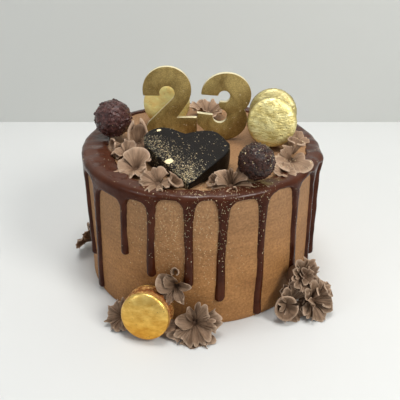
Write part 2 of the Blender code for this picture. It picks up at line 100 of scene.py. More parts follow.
def spot(azimuth: float, radius: float, height: float) -> Vector:
    """The point at this azimuth, distance from the axis and height."""
    angle = math.radians(azimuth)
    return Vector((radius * math.sin(angle), -radius * math.cos(angle), height))


def azimuths_of(points: np.ndarray) -> np.ndarray:
    """The azimuth of each point, in degrees from -180 to 180."""
    return np.degrees(np.arctan2(points[:, 0], -points[:, 1]))


def turning(angle: float, axis: str = "Z") -> Matrix:
    """A turn by so many degrees about an axis."""
    return Matrix.Rotation(math.radians(angle), 4, axis)


def facing_matrix(place: Vector, facing: float, rise: float) -> Matrix:
    """A frame whose +Z faces an azimuth and rises above level, with its +Y upwards.

    Args:
        place: The frame's origin.
        facing: The azimuth that +Z faces, in degrees.
        rise: How far +Z rises above level, in degrees.

    Returns:
        The matrix from the frame to the world.
    """
    level = spot(facing, 1.0, 0.0)
    axis = level * math.cos(math.radians(rise)) + Vector((0, 0, math.sin(math.radians(rise))))
    side = Vector((0, 0, 1)).cross(axis).normalized()
    turn = Matrix((side, axis.cross(side), axis)).transposed().to_4x4()
    return Matrix.Translation(place) @ turn


def ripples(points: np.ndarray, size: float, seed: int, waves: int = 9) -> np.ndarray:
    """A soft uneven height at each point, from -1 to 1, made of seeded plane waves.

    Args:
        points: The points, one row each.
        size: The mean length of a wave, in metres.
        seed: The seed of the waves' directions.
        waves: How many waves are added.

    Returns:
        One height for each point.
    """
    rng = np.random.default_rng(seed)
    total = np.zeros(len(points))
    for _ in range(waves):
        direction = rng.normal(size=3)
        direction /= np.linalg.norm(direction)
        length = size * rng.uniform(0.7, 1.5)
        total += np.sin(2 * np.pi * (points @ direction) / length + rng.uniform(0, 2 * np.pi))
    return total / (waves * WAVES_PEAK)


def band(values: np.ndarray, middle: float, spread: float) -> np.ndarray:
    """A soft bell over values."""
    return np.exp(-((values - middle) / spread) ** 2)


def press(value: float, low: float, high: float, soft: float = 0.0012) -> float:
    """A coordinate eased back between two limits, over the last soft metres."""
    if value < low + soft:
        return low + soft * math.exp((value - low - soft) / soft)
    if value > high - soft:
        return high - soft * math.exp((high - soft - value) / soft)
    return value


def reshape(bm: bmesh.types.BMesh, shape: Shape) -> None:
    """Moves every point of a mesh by a function of all the points.

    Args:
        bm: The mesh.
        shape: Takes the points, one row each, and returns where they go.
    """
    points = np.array([vert.co for vert in bm.verts], float).reshape(-1, 3)
    for vert, place in zip(bm.verts, shape(points)):
        vert.co = place


def spun(profile: Sequence[tuple[float, float]], steps: int) -> bmesh.types.BMesh:
    """A closed turned form about Z.

    Args:
        profile: (radius, height) points; the first and last lie on the axis or close a ring.
        steps: The number of steps round the axis.

    Returns:
        The turned mesh, its faces outwards.
    """
    bm = bmesh.new()
    verts = [bm.verts.new((radius, 0.0, height)) for radius, height in profile]
    edges = [bm.edges.new(pair) for pair in zip(verts, verts[1:])]
    bmesh.ops.spin(bm, geom=verts + edges, cent=(0, 0, 0), axis=(0, 0, 1), angle=2 * math.pi,
                   steps=steps, use_merge=True)
    bmesh.ops.remove_doubles(bm, verts=bm.verts, dist=1e-6)
    bmesh.ops.recalc_face_normals(bm, faces=bm.faces)
    return bm


def merge_into(target: bmesh.types.BMesh, source: bmesh.types.BMesh) -> None:
    """Adds a mesh to another, and frees it."""
    mesh = bpy.data.meshes.new("part")
    source.to_mesh(mesh)
    source.free()
    target.from_mesh(mesh)
    bpy.data.meshes.remove(mesh)


def placed(name: str, data: bpy.types.ID) -> bpy.types.Object:
    """Makes an object of a mesh, a light or a camera, and puts it in the scene."""
    made = bpy.data.objects.new(name, data)
    bpy.context.scene.collection.objects.link(made)
    return made


def publish(name: str, bm: bmesh.types.BMesh, finish: bpy.types.Material, slot: Slot,
            replaced: Iterable[str] = (), crease: float = 60.0) -> bpy.types.Object:
    """Makes a piece of the cake from a mesh, dresses it and ties it to the frame.

    Args:
        name: The piece's name.
        bm: Its mesh in world places, freed here.
        finish: Its material.
        slot: Not used.
        replaced: The frame's nodes that it stands for.
        crease: The angle past which an edge is shaded sharp, in degrees.

    Returns:
        The new object.
    """
    mesh = bpy.data.meshes.new(name)
    bm.to_mesh(mesh)
    bm.free()
    mesh.shade_smooth()
    mesh.set_sharp_from_angle(angle=math.radians(crease))
    mesh.materials.append(finish)
    piece = placed(name, mesh)
    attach(piece, "root")
    if replaced:
        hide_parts(*replaced)
    log.info("%s: %d faces", name, len(mesh.polygons))
    return piece


# Finishes


class Graph:
    """A node tree that is built one node at a time."""

    def __init__(self, tree: bpy.types.NodeTree) -> None:
        """Starts from a tree, whose nodes stay."""
        self.tree = tree

    def fill(self, node: bpy.types.Node, inputs: dict) -> bpy.types.Node:
        """Sets a node's inputs.

        Args:
            node: The node.
            inputs: Socket names or indices, each with a value or the socket that feeds it.

        Returns:
            The same node.
        """
        for key, value in inputs.items():
            if isinstance(value, Socket):
                self.tree.links.new(value, node.inputs[key])
            else:
                node.inputs[key].default_value = value
        return node

    def add(self, kind: str, inputs: Optional[dict] = None, **settings: object) -> bpy.types.Node:
        """Adds a node.

        Args:
            kind: The node's type name.
            inputs: Its inputs, as fill takes them.
            **settings: The node's own properties.

        Returns:
            The node.
        """
        node = self.tree.nodes.new(kind)
        for key, value in settings.items():
            setattr(node, key, value)
        return self.fill(node, inputs or {})

    def group(self, tree: bpy.types.NodeTree, inputs: dict) -> bpy.types.Node:
        """Adds a shared group."""
        return self.add("ShaderNodeGroup", inputs, node_tree=tree)

    def feed(self, shader: bpy.types.Node, **inputs: object) -> None:
        """Sets the shader's inputs, their names written with underscores."""
        self.fill(shader, {key.replace("_", " "): value for key, value in inputs.items()})

    def place(self, scale: Triple = (1, 1, 1), turn: Vector = Vector()) -> Socket:
        """The point in object space, stretched and turned."""
        source = self.add("ShaderNodeTexCoord").outputs["Object"]
        mapping = self.add("ShaderNodeMapping", {"Vector": source, "Scale": scale, "Rotation": turn})
        return mapping.outputs["Vector"]

    def ramp(self, value: Socket, low: float, high: float, start: float = 0.0, end: float = 1.0) -> Socket:
        """A value's stretch from low to high, spread over start to end and held outside it."""
        node = self.add("ShaderNodeMapRange", {"Value": value, "From Min": low, "From Max": high,
                                               "To Min": start, "To Max": end})
        return node.outputs["Result"]

    def noise(self, vector: Socket, scale: object, detail: float, **inputs: float) -> Socket:
        """Soft noise round 0.5."""
        node = self.add("ShaderNodeTexNoise", {"Vector": vector, "Scale": scale, "Detail": detail, **inputs})
        return node.outputs["Fac"]

    def height_of(self, vector: Socket) -> Socket:
        """A vector's Z."""
        return self.add("ShaderNodeSeparateXYZ", {"Vector": vector}).outputs["Z"]

    def upward(self, low: float, high: float, end: float = 1.0) -> Socket:
        """How far the surface looks up, from 0 where its normal's Z is low to end where it is high."""
        normal = self.add("ShaderNodeNewGeometry").outputs["Normal"]
        return self.ramp(self.height_of(normal), low, high, 0.0, end)

    def grey(self, value: Socket) -> Socket:
        """A grey of this brightness."""
        return self.add("ShaderNodeCombineColor", {0: value, 1: value, 2: value}).outputs["Color"]

    def blend(self, share: object, first: object, second: object, mode: str = "MIX") -> Socket:
        """A colour between two, by a share from 0 to 1."""
        below, above = ((*value, 1.0) if isinstance(value, tuple) else value for value in (first, second))
        node = self.add("ShaderNodeMix", {0: share, 6: below, 7: above}, data_type="RGBA", blend_type=mode)
        return node.outputs[2]

    def maths(self, operation: str, first: object, second: object = 0.0) -> Socket:
        """The result of a Math node on two values or sockets."""
        return self.add("ShaderNodeMath", {0: first, 1: second}, operation=operation).outputs[0]

    def bump(self, height: Socket, distance: float) -> Socket:
        """The normal that a height gives, its full swing being distance in metres."""
        return self.add("ShaderNodeBump", {"Height": height, "Distance": distance}).outputs["Normal"]


def new_group(name: str, inputs: Sequence[tuple[str, str, object]],
              outputs: Sequence[tuple[str, str]]) -> tuple[bpy.types.NodeTree, Graph, dict, bpy.types.Node]:
    """Starts a shader node group.

    Args:
        name: The group's name.
        inputs: (name, socket type, default) of each input.
        outputs: (name, socket type) of each output.

    Returns:
        The group, a graph on it, its input sockets by name, and its output node.
    """
    tree = bpy.data.node_groups.new(name, "ShaderNodeTree")
    for label, kind, value in inputs:
        socket = tree.interface.new_socket(name=label, in_out="INPUT", socket_type=kind)
        socket.default_value = value
    for label, kind in outputs:
        tree.interface.new_socket(name=label, in_out="OUTPUT", socket_type=kind)
    graph = Graph(tree)
    source = graph.add("NodeGroupInput")
    return tree, graph, {label: source.outputs[label] for label, _, _ in inputs}, graph.add("NodeGroupOutput")


class Effects:
    """The shader node groups that several finishes share, each built once."""

    FINER = 4.3
    CLOUD = (0.34, 0.66)

    def __init__(self) -> None:
        """Builds the groups."""
        self.grain = self._grain()
        self.mottle = self._mottle()
        self.specks = self._specks()

    def _grain(self) -> bpy.types.NodeTree:
        """A fine uneven height from two sizes of noise."""
        tree, graph, source, out = new_group(
            "grain", (("Vector", "NodeSocketVector", (0, 0, 0)), ("Scale", "NodeSocketFloat", 400.0),
                      ("Coarse Share", "NodeSocketFloat", 0.6)), (("Height", "NodeSocketFloat"),))
        coarse = graph.noise(source["Vector"], source["Scale"], 3.0)
        fine = graph.noise(source["Vector"], graph.maths("MULTIPLY", source["Scale"], self.FINER), 2.0)
        rest = graph.maths("SUBTRACT", 1.0, source["Coarse Share"])
        graph.fill(out, {"Height": graph.maths("ADD", graph.maths("MULTIPLY", coarse, source["Coarse Share"]),
                                               graph.maths("MULTIPLY", fine, rest))})
        return tree

    def _mottle(self) -> bpy.types.NodeTree:
        """A colour that wanders between a low and a high one."""
        tree, graph, source, out = new_group(
            "mottle", (("Vector", "NodeSocketVector", (0, 0, 0)), ("Scale", "NodeSocketFloat", 60.0),
                       ("Low", "NodeSocketColor", (0, 0, 0, 1)), ("High", "NodeSocketColor", (1, 1, 1, 1))),
            (("Color", "NodeSocketColor"), ("Share", "NodeSocketFloat")))
        share = graph.ramp(graph.noise(source["Vector"], source["Scale"], 5.0, Roughness=0.6), *self.CLOUD)
        graph.fill(out, {"Color": graph.blend(share, source["Low"], source["High"]), "Share": share})
        return tree

    @staticmethod
    def _specks() -> bpy.types.NodeTree:
        """A mask of small uneven specks, each in its own cell, of which only some are there."""
        tree, graph, source, out = new_group(
            "specks", (("Vector", "NodeSocketVector", (0, 0, 0)), ("Scale", "NodeSocketFloat", 900.0),
                       ("Amount", "NodeSocketFloat", 0.3), ("Size", "NodeSocketFloat", 0.4)),
            (("Mask", "NodeSocketFloat"),))
        cell = graph.add("ShaderNodeTexVoronoi", {"Vector": source["Vector"], "Scale": source["Scale"]})
        drawn = graph.add("ShaderNodeSeparateColor", {"Color": cell.outputs["Color"]}).outputs[0]
        near = graph.maths("LESS_THAN", cell.outputs["Distance"], source["Size"])
        chosen = graph.maths("LESS_THAN", drawn, source["Amount"])
        graph.fill(out, {"Mask": graph.maths("MULTIPLY", near, chosen)})
        return tree


class Finish:
    """A Principled material that its sub-class wires up.

    Low and high are the colours of its mottle, patches its scale per metre and stretch its proportions.
    Grain is the scale of its grain per metre and the share of the coarser one in it, depth the bump's height.
    """

    name: str = "finish"
    low: Colour = (0.0, 0.0, 0.0)
    high: Colour = (1.0, 1.0, 1.0)
    patches: float = 60.0
    stretch: Triple = (1, 1, 1)
    grain: tuple[float, float] = (400.0, 0.6)
    depth: float = 0.00022

    def build(self, effects: Effects) -> bpy.types.Material:
        """Builds the material.

        Args:
            effects: The shared node groups.

        Returns:
            The material.
        """
        material = bpy.data.materials.new(self.name)
        material.use_nodes = True
        shader = material.node_tree.nodes["Principled BSDF"]
        self.wire(Graph(material.node_tree), shader, effects)
        return material

    def wire(self, graph: Graph, shader: bpy.types.Node, effects: Effects) -> None:
        """Sets the shader's sockets and links."""
        raise NotImplementedError

    def mottled(self, graph: Graph, effects: Effects) -> bpy.types.Node:
        """The shared mottle between the finish's own two colours."""
        return graph.group(effects.mottle, {"Vector": graph.place(self.stretch), "Scale": self.patches,
                                            "Low": (*self.low, 1.0), "High": (*self.high, 1.0)})

    def grained(self, graph: Graph, effects: Effects) -> Socket:
        """The height of the finish's grain."""
        scale, coarse = self.grain
        node = graph.group(effects.grain, {"Vector": graph.place(), "Scale": scale, "Coarse Share": coarse})
        return node.outputs["Height"]


@dataclass(frozen=True)
class Frosting(Finish):
    """Scraped cocoa buttercream: matte, with faint level scraper lines, pits in painted shade and a painted
    warm reflection low on the side.
    """

    name: str = "frosting"
    low: Colour = (0.300, 0.139, 0.048)
    high: Colour = (0.425, 0.205, 0.072)
    # Towards the top the side turns to this colour; lower down it stays warmer, a painted warm reflection of
    # the gold board under the cake.
    top: Colour = (0.345, 0.193, 0.096)
    # Painted shade inside the pits.
    painted_pit_shade: Colour = (0.110, 0.050, 0.020)
    patches: float = 30.0
    stretch: Triple = (1, 1, 1.6)
    line_scale: Triple = (5.0, 5.0, 620.0)
    line_depth: float = 0.22
    grain: tuple[float, float] = (620.0, 0.5)
    depth: float = 0.00026

    def wire(self, graph: Graph, shader: bpy.types.Node, effects: Effects) -> None:
        """Mottled colour under level lines, warmer low on the side as a painted reflection, with rare pits in
        painted shade.
        """
        base = self.mottled(graph, effects)
        lines = graph.noise(graph.place(self.line_scale), 1.0, 2.0)
        fine = graph.noise(graph.place(), 760.0, 3.0)
        streak = graph.maths("MULTIPLY", graph.ramp(lines, 0.30, 0.70, 0.92, 1.06),
                             graph.ramp(fine, 0.34, 0.66, 0.80, 1.19))
        # Painted reflection: the side stays warmer lower down and turns to the top colour higher up.
        level = graph.ramp(graph.height_of(graph.place()), 0.35 * CAKE_HEIGHT, CAKE_HEIGHT, 0.0, 0.9)
        colour = graph.blend(level, base.outputs["Color"], self.top)
        colour = graph.blend(1.0, colour, graph.grey(streak), "MULTIPLY")
        pits = graph.group(effects.specks, {"Vector": graph.place(self.stretch), "Scale": 330.0,
                                            "Amount": 0.06, "Size": 0.15}).outputs["Mask"]
        # Painted shade: the pits are darkened.
        colour = graph.blend(pits, colour, self.painted_pit_shade)
        height = graph.maths("ADD", graph.maths("MULTIPLY", lines, self.line_depth),
                             self.grained(graph, effects))
        height = graph.maths("SUBTRACT", height, pits)
        graph.feed(shader, Base_Color=colour, Roughness=0.55, Specular_IOR_Level=0.16,
                   Normal=graph.bump(height, self.depth))


@dataclass(frozen=True)
class Ganache(Finish):
    """Set dark ganache: glossy where it lies level, lighter there as a painted sheen, and darker where it
    hangs.
    """

    name: str = "ganache"
    low: Colour = (0.036, 0.0076, 0.0026)
    high: Colour = (0.080, 0.0215, 0.0085)
    # The painted sheen that the level parts turn towards, and how far.
    level: Colour = (0.080, 0.030, 0.017)
    painted_sheen_share: float = 0.55
    patches: float = 70.0
    rough: tuple[float, float] = (0.12, 0.26)
    coat: float = 0.29
    coat_rough: float = 0.21
    grain: tuple[float, float] = (420.0, 0.8)

    def wire(self, graph: Graph, shader: bpy.types.Node, effects: Effects) -> None:
        """A dark mottled base whose gloss varies a little, lightened as a painted sheen and under a thin coat
        on its level parts.
        """
        base = self.mottled(graph, effects)
        upward = graph.upward(0.15, 0.90)
        # Painted sheen: the upward faces are lightened.
        share = graph.maths("MULTIPLY", upward, self.painted_sheen_share)
        graph.feed(shader, Base_Color=graph.blend(share, base.outputs["Color"], self.level),
                   Roughness=graph.ramp(base.outputs["Share"], 0.0, 1.0, *self.rough),
                   Specular_IOR_Level=0.11, Coat_Weight=graph.maths("MULTIPLY", upward, self.coat),
                   Coat_Roughness=self.coat_rough,
                   Normal=graph.bump(self.grained(graph, effects), self.depth))


@dataclass(frozen=True)
class PipedCream(Finish):
    """Piped cocoa buttercream: matte, streaked from root to lip, with a painted highlight on the lips and
    painted shade in the folds.
    """

    name: str = "piped_cream"
    low: Colour = (0.216, 0.132, 0.080)
    high: Colour = (0.325, 0.212, 0.136)
    # A painted highlight on the lips and painted shade in the folds at the roots.
    painted_lip_highlight: Colour = (0.680, 0.500, 0.360)
    painted_fold_shade: Colour = (0.085, 0.042, 0.022)
    patches: float = 90.0
    streak_scale: Triple = (1.1, 7.0, 3.7)
    streak_depth: float = 1.4
    grain: tuple[float, float] = (760.0, 0.6)
    depth: float = 0.00034

    def wire(self, graph: Graph, shader: bpy.types.Node, effects: Effects) -> None:
        """Mottled colour and streaks that follow the sheets by their own attributes; lighter higher up as
        painted light, with a painted highlight on the lips and painted shade at the roots.
        """
        base = self.mottled(graph, effects)
        leaf = graph.add("ShaderNodeAttribute", attribute_name="leaf").outputs["Vector"]
        along = graph.add("ShaderNodeMapping", {"Vector": leaf, "Scale": self.streak_scale})
        streaks = graph.noise(along.outputs["Vector"], 1.5, 3.0)
        # Painted light: the cream gets lighter the higher it stands.
        tone = graph.maths("MULTIPLY", graph.ramp(streaks, 0.32, 0.68, 0.72, 1.22),
                           graph.ramp(graph.height_of(graph.place()), 0.035, 0.092, 0.84, 1.14))
        colour = graph.blend(1.0, base.outputs["Color"], graph.grey(tone), "MULTIPLY")
        # The sheet's painted light share: a painted highlight on the lips and painted shade at the roots.
        painted_light_share = graph.add("ShaderNodeAttribute", attribute_name="painted_light_share").outputs["Fac"]
        colour = graph.blend(graph.ramp(painted_light_share, 0.62, 0.98, 0.0, 0.55), colour, self.painted_lip_highlight)
        colour = graph.blend(graph.ramp(painted_light_share, 0.10, 0.40, 0.90, 0.0), colour, self.painted_fold_shade)
        height = graph.maths("ADD", graph.maths("MULTIPLY", streaks, self.streak_depth),
                             self.grained(graph, effects))
        graph.feed(shader, Base_Color=colour, Roughness=0.55, Specular_IOR_Level=0.22,
                   Normal=graph.bump(height, self.depth))


@dataclass(frozen=True)
class CrispChocolate(Finish):
    """Chocolate over chopped nuts: dark plum brown, with glossy and dull places."""

    name: str = "crisp_chocolate"
    low: Colour = (0.020, 0.0065, 0.0058)
    high: Colour = (0.118, 0.048, 0.042)
    patches: float = 380.0
    shine: float = 0.36
    rough: tuple[float, float] = (0.07, 0.34)
    grain: tuple[float, float] = (1000.0, 0.6)
    depth: float = 0.00030

    def wire(self, graph: Graph, shader: bpy.types.Node, effects: Effects) -> None:
        """Mottled at the size of the nuts, its gloss uneven."""
        base = self.mottled(graph, effects)
        graph.feed(shader, Base_Color=base.outputs["Color"], Specular_IOR_Level=self.shine,
                   Roughness=graph.ramp(base.outputs["Share"], 0.0, 1.0, *self.rough),
                   Normal=graph.bump(self.grained(graph, effects), self.depth))


@dataclass(frozen=True)
class HeartChocolate(Finish):
    """Moulded near-black chocolate, lighter on its upward faces with a dull bloom and painted light from
    above.
    """

    name: str = "heart_chocolate"
    dark: Colour = (0.0040, 0.0026, 0.0020)
    # Lighter on upward faces: a dull bloom and painted light from above.
    bloom_and_top_light: Colour = (0.0092, 0.0070, 0.0056)
    patches: float = 130.0
    rough: tuple[float, float] = (0.36, 0.58)
    grain: tuple[float, float] = (1100.0, 0.5)

    def wire(self, graph: Graph, shader: bpy.types.Node, effects: Effects) -> None:
        """Dark, lighter where the surface looks up: a bloom and painted light from above."""
        cloud = graph.ramp(self.mottled(graph, effects).outputs["Share"], 0.0, 1.0, 0.30, 1.0)
        # Bloom and painted light from above where the surface looks up.
        share = graph.maths("MULTIPLY", graph.upward(0.45, 0.95), cloud)
        graph.feed(shader, Base_Color=graph.blend(share, self.dark, self.bloom_and_top_light), Specular_IOR_Level=0.15,
                   Roughness=graph.ramp(share, 0.0, 1.0, *self.rough),
                   Normal=graph.bump(self.grained(graph, effects), self.depth))


@dataclass(frozen=True)
class GoldPlate(Finish):
    """Flat plates brushed with gold dust: olive gold, grained, with a pale painted highlight on the edges
    that look up.
    """

    name: str = "gold_plate"
    low: Colour = (0.250, 0.165, 0.045)
    high: Colour = (0.480, 0.350, 0.120)
    # A painted highlight that the upward edges turn to.
    dust: Colour = (0.950, 0.860, 0.560)
    patches: float = 110.0
    stretch: Triple = (1.0, 1.0, 0.6)
    metal: float = 0.42
    rough: tuple[float, float] = (0.50, 0.36)
    grain: tuple[float, float] = (1500.0, 0.5)

    def wire(self, graph: Graph, shader: bpy.types.Node, effects: Effects) -> None:
        """Mottled gold, fine bright and dark grain over it, and a painted highlight on the upward edges."""
        base = self.mottled(graph, effects)
        shade = graph.grey(graph.ramp(graph.noise(graph.place(), 1500.0, 2.0), 0.30, 0.70, 0.72, 1.28))
        colour = graph.blend(1.0, base.outputs["Color"], shade, "MULTIPLY")
        # Painted highlight: the edges that look up turn pale.
        colour = graph.blend(graph.upward(0.25, 0.80, 0.85), colour, self.dust)
        graph.feed(shader, Base_Color=colour, Metallic=self.metal,
                   Roughness=graph.ramp(base.outputs["Share"], 0.0, 1.0, *self.rough),
                   Normal=graph.bump(self.grained(graph, effects), self.depth))


@dataclass(frozen=True)
class GiltShell(Finish):
    """A macaron shell under gold leaf: creased, bright, worn to brown in specks.

    A tint towards the table, over the given heights, is a painted warm reflection of a gold board below.
    """

    name: str = "gold_shell"
    low: Colour = (0.560, 0.440, 0.140)
    high: Colour = (0.900, 0.810, 0.390)
    worn: Colour = (0.130, 0.085, 0.030)
    patches: float = 170.0
    stretch: Triple = (1, 1, 1.8)
    wear: float = 0.22
    rough: float = 0.36
    metal: float = 0.55
    crease_scale: Triple = (330, 330, 900)
    crease_turn: float = 0.4
    depth: float = 0.00045
    # Painted reflection of a gold board: a warm tint towards the table, and the heights it fades over.
    painted_board_reflection: Colour = (1.0, 1.0, 1.0)
    painted_reflection_heights: tuple[float, float] = (0.002, 0.030)

    def wire(self, graph: Graph, shader: bpy.types.Node, effects: Effects) -> None:
        """Leaf creases run level; wear shows in specks, gathered in patches."""
        base = self.mottled(graph, effects)
        creased = graph.place(self.crease_scale, Vector((0.15, self.crease_turn, 0.1)))
        creases = graph.noise(creased, 1.0, 4.0, Distortion=0.8)
        specks = graph.group(effects.specks, {"Vector": graph.place((1, 1, 1.5)), "Scale": 1300.0,
                                              "Amount": self.wear, "Size": 0.42})
        patch = graph.ramp(creases, 0.40, 0.56, 1.0, 0.05)
        worn = graph.maths("MULTIPLY", specks.outputs["Mask"], patch)
        # Painted reflection: a warm tint towards the table.
        level = graph.ramp(graph.height_of(graph.place()), *self.painted_reflection_heights)
        painted_reflection_tint = graph.blend(level, self.painted_board_reflection, (1.0, 1.0, 1.0))
        colour = graph.blend(1.0, graph.blend(worn, base.outputs["Color"], self.worn), painted_reflection_tint, "MULTIPLY")
        graph.feed(shader, Base_Color=colour, Metallic=graph.ramp(worn, 0.0, 1.0, self.metal, 0.1),
                   Roughness=graph.ramp(worn, 0.0, 1.0, self.rough, 0.6),
                   Normal=graph.bump(creases, self.depth))


@dataclass(frozen=True)
class SoftCrumb(Finish):
    """A macaron's frilled foot or its filling: matte, uneven in colour."""

    name: str = "macaron_foot"
    low: Colour = (0.30, 0.080, 0.014)
    high: Colour = (0.74, 0.42, 0.13)
    patches: float = 520.0
    metal: float = 0.2
    grain: tuple[float, float] = (1100.0, 0.6)
    depth: float = 0.0004

    def wire(self, graph: Graph, shader: bpy.types.Node, effects: Effects) -> None:
        """Mottled and grained."""
        graph.feed(shader, Base_Color=self.mottled(graph, effects).outputs["Color"], Roughness=0.42,
                   Metallic=self.metal, Normal=graph.bump(self.grained(graph, effects), self.depth))


@dataclass(frozen=True)
class GoldFlake(Finish):
    """Loose flakes of edible gold."""

    name: str = "gold_flake"
    low: Colour = (1.0, 0.72, 0.33)
    high: Colour = (1.0, 0.91, 0.64)
    patches: float = 900.0

    def wire(self, graph: Graph, shader: bpy.types.Node, effects: Effects) -> None:
        """Bright metal, each flake a little different."""
        colour = self.mottled(graph, effects).outputs["Color"]
        graph.feed(shader, Base_Color=colour, Metallic=0.25, Roughness=0.26)


@dataclass(frozen=True)
class PlainStage(Finish):
    """The plain pale surfaces round the cake."""

    name: str = "stage"
    colour: Colour = (0.80, 0.81, 0.79)
    one_sided: bool = False

    def wire(self, graph: Graph, shader: bpy.types.Node, effects: Effects) -> None:
        """One matte colour; a one-sided surface isn't seen from behind, to leave the cake's back in view."""
        graph.feed(shader, Base_Color=(*self.colour, 1.0), Roughness=0.75)
        if self.one_sided:
            behind = graph.add("ShaderNodeNewGeometry").outputs["Backfacing"]
            graph.feed(shader, Alpha=graph.maths("SUBTRACT", 1.0, behind))


# The frosted body and its ganache


@dataclass(frozen=True)
class FrostedBody:
    """The scraped cake body under everything else."""

    steps: int = 240
    top_rings: int = 24
    row: float = 0.0020
    edge: float = 0.0012
    side_unevenness: float = 0.00022
    side_wave: float = 0.060
    line_wave: float = 0.0065
    top_unevenness: float = 0.00045
    top_wave: float = 0.025
    top_rise: float = 0.0002

    def profile(self) -> list[tuple[float, float]]:
        """From the middle of the top, over the edge and down to the middle of the base."""
        radius, height = CAKE_RADIUS - self.side_unevenness, CAKE_HEIGHT
        top = [(radius * ring / self.top_rings, height) for ring in range(self.top_rings)]
        rim = [(radius - self.edge * (1 - math.sin(math.radians(angle))),
                height - self.edge * (1 - math.cos(math.radians(angle)))) for angle in (0, 30, 60, 90)]
        rows = int((height - 2 * self.edge) / self.row)
        side = [(radius, height - self.edge - self.row * (index + 1)) for index in range(rows)]
        base = [(radius, self.edge / 2), (radius - self.edge / 2, 0.0), (radius * 0.5, 0.0), (0.0, 0.0)]
        return top + rim + side + base

    def shape(self, points: np.ndarray) -> np.ndarray:
        """Scrapes the side unevenly, and leaves the top slightly wavy."""
        radius = np.hypot(points[:, 0], points[:, 1])
        slow = ripples(points, self.side_wave, 3)
        level = ripples(points * (0.02, 0.02, 1.0), self.line_wave, 5)
        side = (radius > CAKE_RADIUS - self.edge) & (points[:, 2] > self.edge)
        top = (points[:, 2] > CAKE_HEIGHT - 1e-5) & ~side
        push = np.where(side, self.side_unevenness * (0.8 * slow + 0.2 * level), 0.0)
        lift = np.where(top, self.top_unevenness * ripples(points, self.top_wave, 7), 0)
        stretch = 1 + push / np.maximum(radius, 1e-6)
        moved = points * np.stack([stretch, stretch, np.ones(len(points))], axis=1)
        moved[:, 2] += np.minimum(lift, self.top_rise)
        return moved

    def build(self, finish: bpy.types.Material) -> bpy.types.Object:
        """Makes the body."""
        bm = spun(self.profile(), self.steps)
        reshape(bm, self.shape)
        return publish("frosted_body", bm, finish, Slot.FROSTING, ["cake_body"])


@dataclass(frozen=True)
class Drip:
    """One run of ganache: azimuths at rim and tip, height of the tip, half width, and the arch after it.

    Full is how much prouder than the others it stands.
    """

    start: float
    end: float
    foot: float
    half_width: float
    arch: float
    full: float = 1.0


@dataclass(frozen=True)
class BarePlaces:
    """Places on the bare cake that ganache may cover, in arrays with one entry for each place.

    Lean is 0 on the level top and a quarter turn on the side, in radians, and side is the share of it. Spread
    holds points that lie apart as the places do along the surface, for waves.
    """

    azimuth: np.ndarray
    radius: np.ndarray
    height: np.ndarray
    lean: np.ndarray
    side: np.ndarray
    spread: np.ndarray

    def across(self, azimuth: float | np.ndarray) -> np.ndarray:
        """How far each place lies from an azimuth, in metres along the cake's side."""
        return ((self.azimuth - azimuth + 180) % 360 - 180) * math.radians(1) * CAKE_RADIUS


